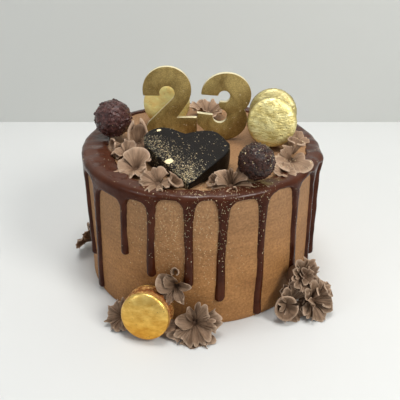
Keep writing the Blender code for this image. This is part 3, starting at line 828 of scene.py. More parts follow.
@dataclass(frozen=True)
class GanacheCoat:
    """The poured ring and its drips, as one skin whose edge is rounded wherever it ends."""

    round_steps: int = 760
    row: float = 0.00060
    inner_start: float = 0.0575
    shoulder: float = 0.0024
    top_thickness: float = 0.0013
    side_thickness: float = 0.0019
    hem: float = 0.0021
    top_hem: float = 0.0014
    blend: float = 0.0026
    inner: tuple[tuple[float, float], ...] = (
        (-90, 0.0645), (-71, 0.0615), (-41, 0.0677), (-24, 0.0717), (25, 0.0698),
        (42, 0.0690), (55, 0.0735), (90, 0.0722), (130, 0.0690), (180, 0.0718), (225, 0.0740))
    edge_wander: float = 0.0006
    edge_wave: float = 0.012

    drip_top: float = CAKE_HEIGHT - 0.0022
    funnel_depth: float = 0.0100
    lowest: float = 0.0012
    bead: float = 1.15
    bead_rise: float = 0.0004
    bead_spread: float = 0.0034
    drip_spread: float = 0.0060
    drip_wander: float = 0.35
    drip_wave: float = 0.0075
    sections: tuple[tuple[float, float], ...] = (
        (0.0, 2.10), (0.09, 1.30), (0.24, 0.98), (0.60, 0.90), (1.0, 1.15))
    back_count: int = 9
    back_feet: tuple[float, float] = (0.012, 0.055)

    bulge: float = 0.0014
    bulge_azimuth: float = 82.0
    bulge_spread: float = 24.0
    bulge_foot: float = 0.078
    bulge_fade: float = 0.008
    wobble: float = 0.00020
    lump: float = 0.00030
    lump_azimuth: float = 72.0
    lump_spread: float = 26.0
    lump_foot: float = 0.080
    lump_fade: float = 0.012
    lump_wave: float = 0.010

    sink: float = 0.0008
    sink_width: float = 0.0010
    hem_sink: float = 0.0002
    hem_share: float = 0.15
    bare_depth: float = 0.0016

    @property
    def flat(self) -> float:
        """The length of the profile on the level top."""
        return CAKE_RADIUS - self.shoulder - self.inner_start

    @property
    def bend(self) -> float:
        """The length of the profile round the shoulder."""
        return self.shoulder * math.pi / 2

    def drips(self) -> list[Drip]:
        """The front drips, then the ones behind, spaced alike with uneven lengths."""
        front = [Drip(-70.0, -65.5, 0.0230, 0.0023, 0.0862), Drip(-54.4, -58.8, self.lowest, 0.0027, 0.0832),
                 Drip(-35.2, -36.4, 0.0435, 0.0023, 0.0856), Drip(-21.2, -22.6, 0.0335, 0.0025, 0.0896),
                 Drip(-4.6, -5.2, 0.0290, 0.0026, 0.0904), Drip(10.4, 8.6, 0.0183, 0.0027, 0.0889),
                 Drip(28.2, 27.9, self.lowest, 0.0024, 0.0894), Drip(47.8, 49.6, 0.0140, 0.0025, 0.0885),
                 Drip(66.0, 68.5, 0.0100, 0.0023, 0.0878), Drip(77.5, 76.5, 0.0135, 0.0028, 0.0872, 1.9)]
        rng = np.random.default_rng(23)
        first, last = front[-1].start, front[0].start + 360
        pitch = (last - first) / (self.back_count + 1)
        back = []
        for index in range(1, self.back_count + 1):
            start = first + pitch * index + rng.uniform(-2.5, 2.5)
            foot = rng.uniform(*self.back_feet)
            back.append(Drip(start, start + rng.uniform(-1.5, 1.5), foot,
                             rng.uniform(0.0022, 0.0027), rng.uniform(0.0850, 0.0900)))
        return front + back

    def inner_radius(self, azimuth: np.ndarray) -> np.ndarray:
        """The ring's inner edge, eased from one entry to the next round the circle."""
        places = np.array([entry[0] for entry in self.inner] + [self.inner[0][0] + 360], float)
        radii = np.array([entry[1] for entry in self.inner] + [self.inner[0][1]], float)
        place = places[0] + (azimuth - places[0]) % 360
        index = np.clip(np.searchsorted(places, place, side="right") - 1, 0, len(self.inner) - 1)
        share = (place - places[index]) / (places[index + 1] - places[index])
        ease = 0.5 * (1 - np.cos(np.pi * np.clip(share, 0, 1)))
        return radii[index] + (radii[index + 1] - radii[index]) * ease

    def lower_edge(self, azimuth: np.ndarray, drips: list[Drip]) -> np.ndarray:
        """The height of the ring's lower edge: a flat-topped arch between drips, a funnel at each of them."""
        starts = np.array([drip.start for drip in drips] + [drips[0].start + 360])
        arches = np.array([drip.arch for drip in drips])
        place = starts[0] + (azimuth - starts[0]) % 360
        index = np.clip(np.searchsorted(starts, place, side="right") - 1, 0, len(drips) - 1)
        across = 2 * (place - starts[index]) / (starts[index + 1] - starts[index]) - 1
        rise = np.sqrt(np.maximum(0.0, 1 - np.abs(across) ** 3))
        return arches[index] - self.funnel_depth * (1 - rise)

    def join(self, first: np.ndarray, second: np.ndarray) -> np.ndarray:
        """The larger of two depths, with a fillet where they are alike."""
        near = np.maximum(self.blend - np.abs(first - second), 0) / self.blend
        return np.maximum(first, second) + near ** 2 * self.blend / 4

    def drip_depth(self, drip: Drip, at: BarePlaces) -> np.ndarray:
        """How far inside a drip's outline each place on the side lies."""
        bead = drip.half_width * self.bead
        bottom = drip.foot + bead
        fall = np.clip((self.drip_top - at.height) / (self.drip_top - drip.foot), 0, 1)
        wander = self.drip_wander * np.sin(at.height / self.drip_wave + drip.start) * fall
        across = np.abs(at.across(drip.start + (drip.end - drip.start) * fall + wander))
        share = np.clip((self.drip_top - at.height) / (self.drip_top - bottom), 0, 1)
        width = drip.half_width * np.interp(share, *zip(*self.sections))
        return np.where(at.height > bottom, width - across, bead - np.hypot(across, at.height - bottom))

    def places(self, azimuth: np.ndarray, path: np.ndarray) -> BarePlaces:
        """The places at each azimuth and each distance along the profile."""
        past = path - self.flat
        lean = np.clip(past / self.shoulder, 0, math.pi / 2)
        radius = np.where(past < 0, self.inner_start + path, CAKE_RADIUS - self.shoulder * (1 - np.sin(lean)))
        height = CAKE_HEIGHT - self.shoulder * (1 - np.cos(lean))
        height = np.where(past > self.bend, CAKE_HEIGHT - self.shoulder - (past - self.bend), height)
        turned = np.radians(azimuth)
        level = CAKE_RADIUS * np.sin(turned), CAKE_RADIUS * np.cos(turned)
        spread = np.stack([*level, height + radius], axis=1)
        return BarePlaces(azimuth, radius, height, lean, np.clip(past / self.bend, 0, 1), spread)

    def outline(self, at: BarePlaces, drips: list[Drip]) -> np.ndarray:
        """How far inside the outline of the ring and its drips each place lies."""
        uneven = self.edge_wander * ripples(at.spread, self.edge_wave, 11)
        inner_side = at.radius - self.inner_radius(at.azimuth) + 1.5 * uneven
        depth = np.minimum(inner_side, at.height - self.lower_edge(at.azimuth, drips) + uneven)
        for drip in drips:
            depth = self.join(depth, np.minimum(self.drip_depth(drip, at), inner_side))
        return depth

    def fullness(self, at: BarePlaces, drips: list[Drip]) -> np.ndarray:
        """The thickness well inside the outline: more at the drips' beads, on full drips and at the bulge."""
        beads, swell = np.zeros_like(at.height), np.ones_like(at.height)
        for drip in drips:
            across, above = at.across(drip.end), at.height - (drip.foot + drip.half_width * self.bead)
            beads += np.exp(-(across ** 2 + (0.7 * above) ** 2) / self.bead_spread ** 2)
            swell += (drip.full - 1) * band(across, 0.0, self.drip_spread)
        on_side = self.side_thickness * swell - self.top_thickness
        bulged = self.bulge * band(at.azimuth, self.bulge_azimuth, self.bulge_spread) * at.side
        bulged *= np.clip((at.height - self.bulge_foot) / self.bulge_fade, 0, 1)
        return self.top_thickness + on_side * at.side + self.bead_rise * beads + bulged

    def thickness(self, at: BarePlaces, depth: np.ndarray, drips: list[Drip]) -> np.ndarray:
        """The skin's thickness: round at the hem, lumpy inside it, and sunk into the cake outside it."""
        hem = self.top_hem + (self.hem - self.top_hem) * at.side
        inside = np.clip(depth / hem, 0, 1)
        thickness = self.fullness(at, drips) * np.sqrt(np.maximum(0.0, 1 - (1 - inside) ** 2))
        lumps = self.lump * (0.45 + 1.1 * band(at.azimuth, self.lump_azimuth, self.lump_spread))
        lumps *= np.clip(at.height - self.lump_foot, 0, self.lump_fade) / self.lump_fade
        thickness += (self.wobble + lumps) * ripples(at.spread, self.lump_wave, 13) * inside
        thickness -= self.sink * np.clip(-depth / self.sink_width, 0, 1)
        return thickness - self.hem_sink * np.clip(1 - inside / self.hem_share, 0, 1)

    def skin(self, azimuth: np.ndarray, path: np.ndarray) -> tuple[np.ndarray, np.ndarray]:
        """The skin's points and its depth inside the outline.

        Args:
            azimuth: The azimuth of each point.
            path: Its distance along the profile, from inner_start outwards and then down.

        Returns:
            The points, one row each, and how far inside the outline each lies.
        """
        at, drips = self.places(azimuth, path), self.drips()
        depth = self.outline(at, drips)
        thickness = self.thickness(at, depth, drips)
        turned, far = np.radians(azimuth), at.radius + thickness * np.sin(at.lean)
        height = np.maximum(at.height + thickness * np.cos(at.lean), GAP)
        return np.stack([far * np.sin(turned), -far * np.cos(turned), height], axis=1), depth

    def build(self, finish: bpy.types.Material) -> bpy.types.Object:
        """Wraps a grid round the cake, keeps what the ganache covers and closes its seam."""
        length = self.flat + self.bend + CAKE_HEIGHT - self.shoulder
        bm = bmesh.new()
        bmesh.ops.create_grid(bm, x_segments=self.round_steps, y_segments=int(length / self.row), size=0.5)
        grid = np.array([vert.co for vert in bm.verts], float)
        points, depth = self.skin(360 * grid[:, 0], length * (0.5 - grid[:, 1]))
        seam = np.abs(grid[:, 0]) > 0.5 - 1e-6
        points[seam, 0] = 0.0
        for vert, place in zip(bm.verts, points):
            vert.co = place
        bare = [vert for vert, inside in zip(list(bm.verts), depth) if inside < -self.bare_depth]
        bmesh.ops.delete(bm, geom=bare, context="VERTS")
        bmesh.ops.remove_doubles(bm, verts=bm.verts, dist=1e-6)
        return publish("ganache_coat", bm, finish, Slot.GANACHE, ["ganache_drip"])


# Toppings


@dataclass(frozen=True)
class Heart:
    """A thick moulded heart that lies on the cream, its tip to the front, with a flat top and a firm edge."""

    width: float = 0.0557
    length: float = 0.0482
    thickness: float = 0.0188
    place: tuple[float, float] = (-0.0135, -0.0440)
    turn: float = -10.0
    skew: float = 0.40
    fall: float = 0.77
    tip: float = 1.62
    waves: tuple[float, float, float, float] = (13.0, 4.0, -0.1, 1.2)
    rounding: tuple[float, float] = (0.060, 0.095)
    rings: int = 64
    dents: tuple[tuple[float, float, int], ...] = ((0.00030, 0.014, 17), (0.00010, 0.005, 19))
    dented: float = 0.02

    def reach(self, angle: np.ndarray) -> tuple[np.ndarray, np.ndarray]:
        """The outline as shares of the half width and half length, from the notch round to the tip."""
        signs = (1, -1, -1, -1)

        def sum_at(at: np.ndarray) -> np.ndarray:
            """The outline's waves added up at an angle."""
            return sum(sign * wave * np.cos(turn * at)
                       for turn, (sign, wave) in enumerate(zip(signs, self.waves), 1))

        low, high = sum_at(np.array(math.pi)), sum_at(np.array(math.pi / 4))
        along = 2 * (sum_at(angle) - low) / (high - low) - 1
        across = np.sign(np.sin(angle)) * np.abs(np.sin(angle)) ** self.tip
        return across + self.skew * (1 - along) / 2, along

    def section(self, level: np.ndarray) -> tuple[np.ndarray, np.ndarray]:
        """The section's swell and height, from the middle of the top over the edge to that of the base.

        Args:
            level: Heights on a unit sphere.

        Returns:
            Each one's share of the outline and of the heart's height.
        """
        across, down = self.rounding
        corner = np.linspace(0, np.pi / 2, 9)
        places = np.concatenate([[0.0], np.linspace(0.32, 0.46, 9), [0.56, 0.62, 0.66, 0.70, 1.0]])
        swell = np.concatenate([[0.0], 1 - across + across * np.sin(corner), [1.0, 0.99, 0.975, 0.94, 0.0]])
        height = np.concatenate([[1.0], 1 - down + down * np.cos(corner), [0.5, 0.2, 0.06, 0.0, 0.0]])
        share = np.arccos(np.clip(level, -1, 1)) / np.pi
        return np.interp(share, places, swell), np.interp(share, places, height)

    def shape(self, points: np.ndarray) -> np.ndarray:
        """Moves the points of a unit sphere onto the heart."""
        swell, height = self.section(points[:, 2])
        across, along = self.reach(np.arctan2(points[:, 0], points[:, 1]))
        fall = 1 - self.fall * (1 - along * swell) / 2
        out = np.stack([self.width / 2 * across * swell, self.length / 2 * along * swell,
                        height * self.thickness * fall], axis=1)
        dents = sum(height * ripples(out, size, seed) for height, size, seed in self.dents)
        return out * (1 + dents / self.dented)[:, None]

    def build(self, finish: bpy.types.Material) -> bpy.types.Object:
        """Makes the heart."""
        bm = bmesh.new()
        bmesh.ops.create_uvsphere(bm, u_segments=160, v_segments=self.rings, radius=1.0)
        reshape(bm, self.shape)
        place = Matrix.Translation((*self.place, CAKE_HEIGHT + GAP)) @ turning(self.turn)
        bmesh.ops.transform(bm, matrix=place, verts=bm.verts)
        bmesh.ops.recalc_face_normals(bm, faces=bm.faces)
        return publish("moulded_heart", bm, finish, Slot.HEART, ["chocolate_heart"])


def arc(middle: tuple[float, float], radii: tuple[float, float], start: float, end: float,
        per_turn: int = 72) -> list[tuple[float, float]]:
    """Points of an elliptic arc, its angles in degrees, counter-clockwise if end is larger."""
    count = max(2, round(abs(end - start) / 360 * per_turn))
    angles = [math.radians(start + (end - start) * step / count) for step in range(count + 1)]
    return [(middle[0] + radii[0] * math.cos(angle), middle[1] + radii[1] * math.sin(angle))
            for angle in angles]


class Figure(Enum):
    """The two numerals."""

    TWO = "numeral_two"
    THREE = "numeral_three"


@dataclass(frozen=True)
class Numeral:
    """A flat plate with a numeral's outline, standing upright, its edges slightly rounded."""

    figure: Figure
    place: tuple[float, float]
    thickness: float = 0.0034
    rounding: float = 0.00035

    def outline(self) -> list[tuple[float, float]]:
        """The outline in the plate's own plane, from its lower left corner."""
        if self.figure is Figure.TWO:
            foot_right, foot_height, crook = 0.0375, 0.0130, 0.0237
            return ([(0.0005, 0.0), (foot_right, 0.0), (foot_right, foot_height), (crook, foot_height)]
                    + arc((0.0168, 0.0330), (0.0169, 0.0169), -40, 193)
                    + arc((0.0168, 0.0307), (0.0054, 0.0054), 197, -40)
                    + [(0.0035, 0.0095), (0.0008, 0.0045)])
        return ([(0.0, 0.0202), (0.0, 0.0120)]
                + arc((0.0183, 0.0149), (0.0162, 0.0149), 205, 391)
                + arc((0.0198, 0.0327), (0.0170, 0.0156), -39, 176)
                + [(0.0034, 0.0332), (0.0132, 0.0324)]
                + arc((0.0184, 0.0318), (0.0041, 0.0041), 172, -70)
                + [(0.0158, 0.0281), (0.0148, 0.0267), (0.0153, 0.0242)]
                + arc((0.0156, 0.0179), (0.0050, 0.0050), 75, -190))

    def build(self, finish: bpy.types.Material) -> bpy.types.Object:
        """Extrudes the outline, rounds its edges and stands it up."""
        bm = bmesh.new()
        face = bm.faces.new([bm.verts.new((across, up, 0.0)) for across, up in self.outline()])
        grown = bmesh.ops.extrude_face_region(bm, geom=[face])
        top = [item for item in grown["geom"] if isinstance(item, bmesh.types.BMVert)]
        bmesh.ops.translate(bm, verts=top, vec=(0, 0, self.thickness))
        bmesh.ops.recalc_face_normals(bm, faces=bm.faces)
        rims = [edge for edge in bm.edges if any(len(side.verts) > 4 for side in edge.link_faces)]
        bmesh.ops.bevel(bm, geom=rims, offset=self.rounding, segments=2, profile=0.5, affect="EDGES",
                        material=-1)
        across, back = self.place
        foot = Vector((across, back + self.thickness / 2, CAKE_HEIGHT + 0.8 * GAP))
        stand = Matrix.Translation(foot) @ Matrix.Rotation(math.pi / 2, 4, "X")
        bmesh.ops.transform(bm, matrix=stand, verts=bm.verts)
        bmesh.ops.recalc_face_normals(bm, faces=bm.faces)
        return publish(self.figure.value + "_plate", bm, finish, Slot.PLATE, [self.figure.value], crease=35.0)


@dataclass(frozen=True)
class CrispBall:
    """A round chocolate whose chopped nuts stand out under the coat."""

    node: str
    seed: int
    chips: int
    chip_size: tuple[float, float]
    relief: float = 0.0009
    grain: float = 0.0030
    lump_share: float = 0.75
    lump_fall: float = 1.5
    fine_relief: float = 0.00022
    fine_grain: float = 0.0009
    clear: float = 0.0004

    def build(self, finish: bpy.types.Material) -> bpy.types.Object:
        """Makes a lumpy ball and seats the nut chips in it."""
        low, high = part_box(self.node)
        centre, radius = (low + high) / 2, min(high - low) / 2 - self.clear
        bm = bmesh.new()
        bmesh.ops.create_icosphere(bm, subdivisions=6, radius=radius - self.relief)
        shift = Vector((self.seed * 7.3, self.seed * 3.1, 0.0))
        for vert in bm.verts:
            outward = vert.co.normalized()
            near = noise.voronoi(vert.co / self.grain + shift)[0][0]
            lump = 1.0 - min(1.0, near ** 2 * self.lump_fall)
            fine = noise.noise(vert.co / self.fine_grain + shift)
            vert.co += outward * (self.relief * self.lump_share * lump + self.fine_relief * fine)
        rng = np.random.default_rng(self.seed)
        for _ in range(self.chips):
            outward = Vector(rng.normal(size=3)).normalized()
            size = rng.uniform(*self.chip_size)
            seat = outward * (radius - self.relief * rng.uniform(0.75, 1.30))
            turn = Matrix.Rotation(rng.uniform(0, 2 * math.pi), 4, Vector(rng.normal(size=3)).normalized())
            width, height = size * rng.uniform(0.6, 1.0), size * rng.uniform(0.45, 0.8)
            stretch = Matrix.Diagonal((size, width, height, 1.0))
            place = Matrix.Translation(seat) @ turn @ stretch
            bmesh.ops.create_icosphere(bm, subdivisions=1, radius=1.0, matrix=place)
        bmesh.ops.translate(bm, verts=bm.verts, vec=centre)
        return publish(self.node + "_crust", bm, finish, Slot.CRISP, [self.node], crease=40.0)


@dataclass(frozen=True)
class MacaronLook:
    """The finishes of one macaron's parts."""

    shell: bpy.types.Material
    foot: bpy.types.Material
    filling: bpy.types.Material


@dataclass(frozen=True)
class Macaron:
    """Two domed shells with frilled feet and a disc of filling, stood on edge and leaning back."""

    name: str
    x: float
    y: float
    base: float
    radius: float
    facing: float
    lean: float
    seed: int
    cap: float = 0.0062
    foot: float = 0.0022
    filling: float = 0.0028
    frill_size: float = 0.00075
    frill_grain: float = 0.0011
    frill_bulge: float = 0.00045
    rim_share: float = 0.985
    lap: float = 0.0006
    inset: float = 0.0010
    steps: int = 200

    def stand(self) -> Matrix:
        """The frame of the macaron: its back on the plane Z = 0, its face towards +Z."""
        lean, depth = math.radians(self.lean), 2 * self.cap + self.filling + 2 * GAP
        foot = 0.5 * depth * math.sin(lean) * 0.55 + self.radius * math.cos(lean)
        middle = Vector((self.x, self.y, self.base + (GAP if self.base else 0.0) + foot))
        return facing_matrix(middle, self.facing, self.lean) @ Matrix.Translation((0, 0, -depth / 2))

    def dome(self) -> list[tuple[float, float]]:
        """A shell's cap from its middle down to the top of its foot, then in to the axis."""
        rise, rim = self.cap - self.foot, self.radius * self.rim_share
        cap = []
        for step in range(23):
            angle = math.pi / 2 * (1 - step / 22)
            cap.append((rim * math.cos(angle) ** 0.86, self.foot + rise * math.sin(angle) ** 0.80))
        under = self.foot - self.lap
        return [(0.0, self.cap)] + cap[1:] + [(rim * 0.93, under), (0.0, under)]

    def frill(self) -> list[tuple[float, float]]:
        """A shell's foot: a ragged bulge under the cap."""
        rim = self.radius * self.rim_share
        bulge = [(rim * 0.975 + self.frill_bulge * math.sin(math.pi * share), self.foot * (1 - share))
                 for share in (0.0, 0.15, 0.3, 0.45, 0.6, 0.75, 0.9, 1.0)]
        return [(0.0, self.foot)] + bulge + [(0.0, 0.0)]

    def leaf(self, points: np.ndarray) -> np.ndarray:
        """Low dents and creases of the leaf over a dome."""
        radius = np.hypot(points[:, 0], points[:, 1])
        dents = 0.00022 * ripples(points, 0.009, self.seed)
        creases = 0.00007 * ripples(points * (1, 3, 1), 0.004, self.seed + 1)
        lift = (dents + creases) * np.clip(1 - (radius / self.radius) ** 6, 0, 1)
        moved = points.copy()
        moved[:, 2] += np.where(points[:, 2] > self.foot, lift, 0)
        return moved

    def ruffle(self, points: np.ndarray) -> np.ndarray:
        """Bubbles and tears round a foot."""
        moved = points.copy()
        for index, point in enumerate(points):
            radius = math.hypot(point[0], point[1])
            if radius < self.radius * 0.9:
                continue
            swell = noise.noise(Vector(point) / self.frill_grain + Vector((self.seed, 0, 0)))
            stretch = 1 + (self.frill_size * swell + 0.0002) / radius
            moved[index, :2] *= min(stretch, self.radius / radius)
        return moved

    def build(self, look: MacaronLook) -> None:
        """Makes the shells, their feet and the filling."""
        stand = self.stand()
        middle = self.cap + GAP + self.filling / 2
        flip = Matrix.Translation((0, 0, self.cap)) @ Matrix.Diagonal((1, 1, -1, 1))
        raise_up = Matrix.Translation((0, 0, middle + self.filling / 2 + GAP))
        for side, place in (("front", raise_up), ("back", flip)):
            node = f"{self.name}_shell_{side}"
            dome = spun(self.dome(), self.steps)
            reshape(dome, self.leaf)
            frill = spun(self.frill(), self.steps)
            reshape(frill, self.ruffle)
            for bm, label, finish in ((dome, "cap", look.shell), (frill, "foot", look.foot)):
                bmesh.ops.transform(bm, matrix=stand @ place, verts=bm.verts)
                bmesh.ops.recalc_face_normals(bm, faces=bm.faces)
                publish(f"{self.name}_{side}_{label}", bm, finish, Slot.SHELL, [node])
        rim, half = self.radius - self.inset, self.filling / 2
        round_side = [(rim - 0.0006 + 0.0007 * math.cos(angle), half * math.sin(angle))
                      for angle in (math.pi / 2, math.pi / 4, 0.0, -math.pi / 4, -math.pi / 2)]
        disc = spun([(0.0, half)] + round_side + [(0.0, -half)], self.steps)
        reshape(disc, self.ruffle)
        bmesh.ops.transform(disc, matrix=stand @ Matrix.Translation((0, 0, middle)), verts=disc.verts)
        publish(f"{self.name}_cream", disc, look.filling, Slot.FILLING, [f"{self.name}_filling"])


# Piped flowers


def leaf_sheet(shape: Shape, rows: int, columns: int, thickness: float, kind: float) -> bmesh.types.BMesh:
    """A closed thin sheet of cream, with what its finish needs in attributes.

    Args:
        shape: Moves a unit grid, x from root to lip and y across, onto the sheet.
        rows: The grid's points from root to lip.
        columns: The grid's points across.
        thickness: The sheet's thickness.
        kind: Any number; sheets with another one get other streaks.

    Returns:
        The sheet's mesh.
    """
    bm = bmesh.new()
    painted_light_share = bm.verts.layers.float.new("painted_light_share")
    leaf = bm.verts.layers.float_vector.new("leaf")
    bmesh.ops.create_grid(bm, x_segments=rows, y_segments=columns, size=0.5)
    for vert in bm.verts:
        share, across = vert.co.x + 0.5, 2 * vert.co.y
        # Painted light share: low at the root, for painted shade, and high on the lip and rims, for a painted
        # highlight.
        rim = max(abs(across) ** 8 * min(1.0, 2 * share), share ** 9)
        vert[painted_light_share] = 0.06 + 0.54 * share ** 0.8 + 0.40 * rim
        vert[leaf] = (share, across, kind)
    reshape(bm, shape)
    bmesh.ops.solidify(bm, geom=list(bm.faces), thickness=thickness)
    bmesh.ops.recalc_face_normals(bm, faces=bm.faces)
    return bm


def seated(bm: bmesh.types.BMesh, turn: float, offset: float, lift: float, tilt: float) -> bmesh.types.BMesh:
    """Moves a sheet offset from its flower's pit towards turn, lifts it and leans it by tilt that way."""
    place = turning(turn) @ Matrix.Translation((offset, 0, lift)) @ turning(tilt, "Y")
    bmesh.ops.transform(bm, matrix=place, verts=bm.verts)
    return bm


@dataclass(frozen=True)
class Petal:
    """One piped petal in its flower's frame: a fan that leaves the pit, arches over and rolls at its lip.

    Turn is the way it points in the flower's plane, 0 to the right and 90 upwards. Rises are above that
    plane. Wrap is half of the angle that the sheet is rolled through, in radians. Angles else are degrees.
    """

    turn: float
    length: float
    width: float
    start_rise: float = 68.0
    end_rise: float = 0.0
    wrap: float = 0.9
    ruffle: float = 0.0007
    folds: float = 2.2
    phase: float = 0.0
    crinkle: float = 0.0004
    curl: float = 20.0
    twist: float = 0.0
    fan: float = 0.76
    neck: float = 0.20
    blunt: float = 0.35
    bow: float = 0.20
    thickness: float = 0.0007
    root: float = 0.0008
    rows: int = 15
    columns: int = 20

    def midline(self, share: np.ndarray) -> tuple[np.ndarray, np.ndarray, np.ndarray]:
        """The petal's middle: distance out, height, and rise of the tangent in radians."""
        steps = np.linspace(0, 1, 41)
        rise = np.radians(self.start_rise + (self.end_rise - self.start_rise) * steps
                          - self.curl * np.clip((steps - 0.7) / 0.3, 0, 1) ** 2)
        pace = self.length / 40
        out = self.root + pace * np.concatenate([[0], np.cumsum(np.cos(rise))[:-1]])
        height = pace * np.concatenate([[0], np.cumsum(np.sin(rise))[:-1]])
        return tuple(np.interp(share, steps, values) for values in (out, height, rise))

    def half_width(self, share: np.ndarray) -> np.ndarray:
        """Half of the sheet's width: a narrow neck, the widest place at the fan's share, a blunt tip."""
        growth = np.sin(np.pi / 2 * np.clip(share / self.fan, 0, 1)) ** 1.2
        end = 1 - self.blunt * np.clip((share - self.fan) / (1 - self.fan), 0, 1) ** 2
        return self.width / 2 * (self.neck + (1 - self.neck) * growth) * end

    def shape(self, points: np.ndarray) -> np.ndarray:
        """Moves a unit grid onto the petal."""
        share, across = points[:, 0] + 0.5, 2 * points[:, 1]
        out, height, rise = self.midline(share * (1 - self.bow * across ** 2 * share))
        half = self.half_width(share)
        wrap = max(self.wrap, 0.05) * (1.15 - 0.35 * share)
        side = half * np.sin(wrap * across) / wrap
        lift = half * (1 - np.cos(wrap * across)) / wrap
        lift += self.ruffle * share ** 1.5 * np.sin(self.folds * np.pi * across + self.phase)
        rim = np.maximum(np.abs(across) ** 3 * np.clip(2 * share, 0, 1), share ** 5)
        lift += self.crinkle * rim * np.sin(11 * across + 9 * share * np.sign(across) + 2 * self.phase)
        lift += self.twist * side * share
        along = out - lift * np.sin(rise)
        up = height + lift * np.cos(rise)
        turn = math.radians(self.turn)
        return np.stack([along * math.cos(turn) - side * math.sin(turn),
                         along * math.sin(turn) + side * math.cos(turn), up], axis=1)

    def mesh(self) -> bmesh.types.BMesh:
        """The petal as a closed thin sheet."""
        return leaf_sheet(self.shape, self.rows, self.columns, self.thickness, self.turn)


@dataclass(frozen=True)
class Frill:
    """A wide petal swept round its root as a fan, whose sheet waves more and more towards the lip.

    Its root sits at offset from the flower's pit towards turn, lifted from the plane, and its axis leans by
    tilt that way. Angles are degrees.
    """

    turn: float
    spread: float
    length: float
    start_rise: float = 62.0
    end_rise: float = 6.0
    waves: float = 1.2
    depth: float = 0.0016
    phase: float = 0.0
    offset: float = 0.0
    lift: float = 0.0
    tilt: float = 0.0
    sweep: float = 0.10
    corner: float = 0.20
    ragged: float = 0.09
    crinkle: float = 0.00035
    root: float = 0.0010
    thickness: float = 0.00075
    rows: int = 12
    columns: int = 36

    def shape(self, points: np.ndarray) -> np.ndarray:
        """Moves a unit grid onto the frill."""
        share, across = points[:, 0] + 0.5, 2 * points[:, 1]
        wave = self.waves * np.pi * across + self.phase
        run = share * (1 - self.corner * across ** 6) * (1 + self.ragged * share * np.sin(1.6 * wave + 2.0))
        steps = np.linspace(0, 1.2, 49)
        rise = np.radians(self.start_rise + (self.end_rise - self.start_rise) * np.minimum(steps, 1.0))
        pace = self.length * steps[1]
        out = np.interp(run, steps, self.root + pace * np.concatenate([[0], np.cumsum(np.cos(rise))[:-1]]))
        up = np.interp(run, steps, pace * np.concatenate([[0], np.cumsum(np.sin(rise))[:-1]]))
        rise = np.interp(run, steps, rise)
        lift = self.depth * share ** 1.5 * (np.sin(wave) + 0.32 * np.sin(2.4 * wave + 1.3 * self.phase))
        lift += self.crinkle * share ** 4 * np.sin(5.0 * wave + 3.0 * share)
        radius = out - lift * np.sin(rise)
        angle = math.radians(self.spread / 2) * across + self.sweep * share ** 2 * np.cos(wave)
        return np.stack([radius * np.cos(angle), radius * np.sin(angle), up + lift * np.cos(rise)], axis=1)

    def mesh(self) -> bmesh.types.BMesh:
        """The frill as a closed thin sheet."""
        bm = leaf_sheet(self.shape, self.rows, self.columns, self.thickness, self.turn + self.spread)
        return seated(bm, self.turn, self.offset, self.lift, self.tilt)


@dataclass(frozen=True)
class Funnel:
    """A petal rolled into an open funnel whose ends overlap, its lip rolled outwards.

    Its mouth leans by tilt from the flower's axis towards turn, at offset from the pit, and is stretched that
    way. Angles are degrees.
    """

    turn: float
    offset: float
    tilt: float
    radius: float
    depth: float
    lift: float = 0.0
    closing: float = 0.96
    overlap: float = 0.06
    stretch: float = 1.0
    wall_share: float = 0.75
    lip_turn: float = 2.6
    roll: float = 0.0006
    ruffle: float = 0.0005
    folds: float = 3.0
    phase: float = 0.0
    thickness: float = 0.0007
    rows: int = 16
    columns: int = 44

    def shape(self, points: np.ndarray) -> np.ndarray:
        """Moves a unit grid onto the funnel."""
        share, across = points[:, 0] + 0.5, 2 * points[:, 1]
        angle = math.pi * self.closing * across
        wave = np.sin(self.folds * angle + self.phase) + 0.5 * np.sin((self.folds * 2 + 1) * angle + 1.7)
        wall = np.minimum(share / self.wall_share, 1.0)
        over = np.clip((share - self.wall_share) / (1 - self.wall_share), 0, 1) * self.lip_turn
        ruffle = self.ruffle * share ** 2 * wave
        radius = self.radius * (0.06 + 0.94 * wall ** 0.75) * (1 + self.overlap * across)
        radius += self.roll * (1 - np.cos(over)) + 0.8 * ruffle
        height = self.depth * wall ** 1.4 + self.roll * np.sin(over) + ruffle
        return np.stack([self.stretch * radius * np.cos(angle), radius * np.sin(angle), height], axis=1)

    def mesh(self) -> bmesh.types.BMesh:
        """The funnel as a closed thin sheet."""
        bm = leaf_sheet(self.shape, self.rows, self.columns, self.thickness, self.turn)
        return seated(bm, self.turn, self.offset, self.lift, self.tilt)


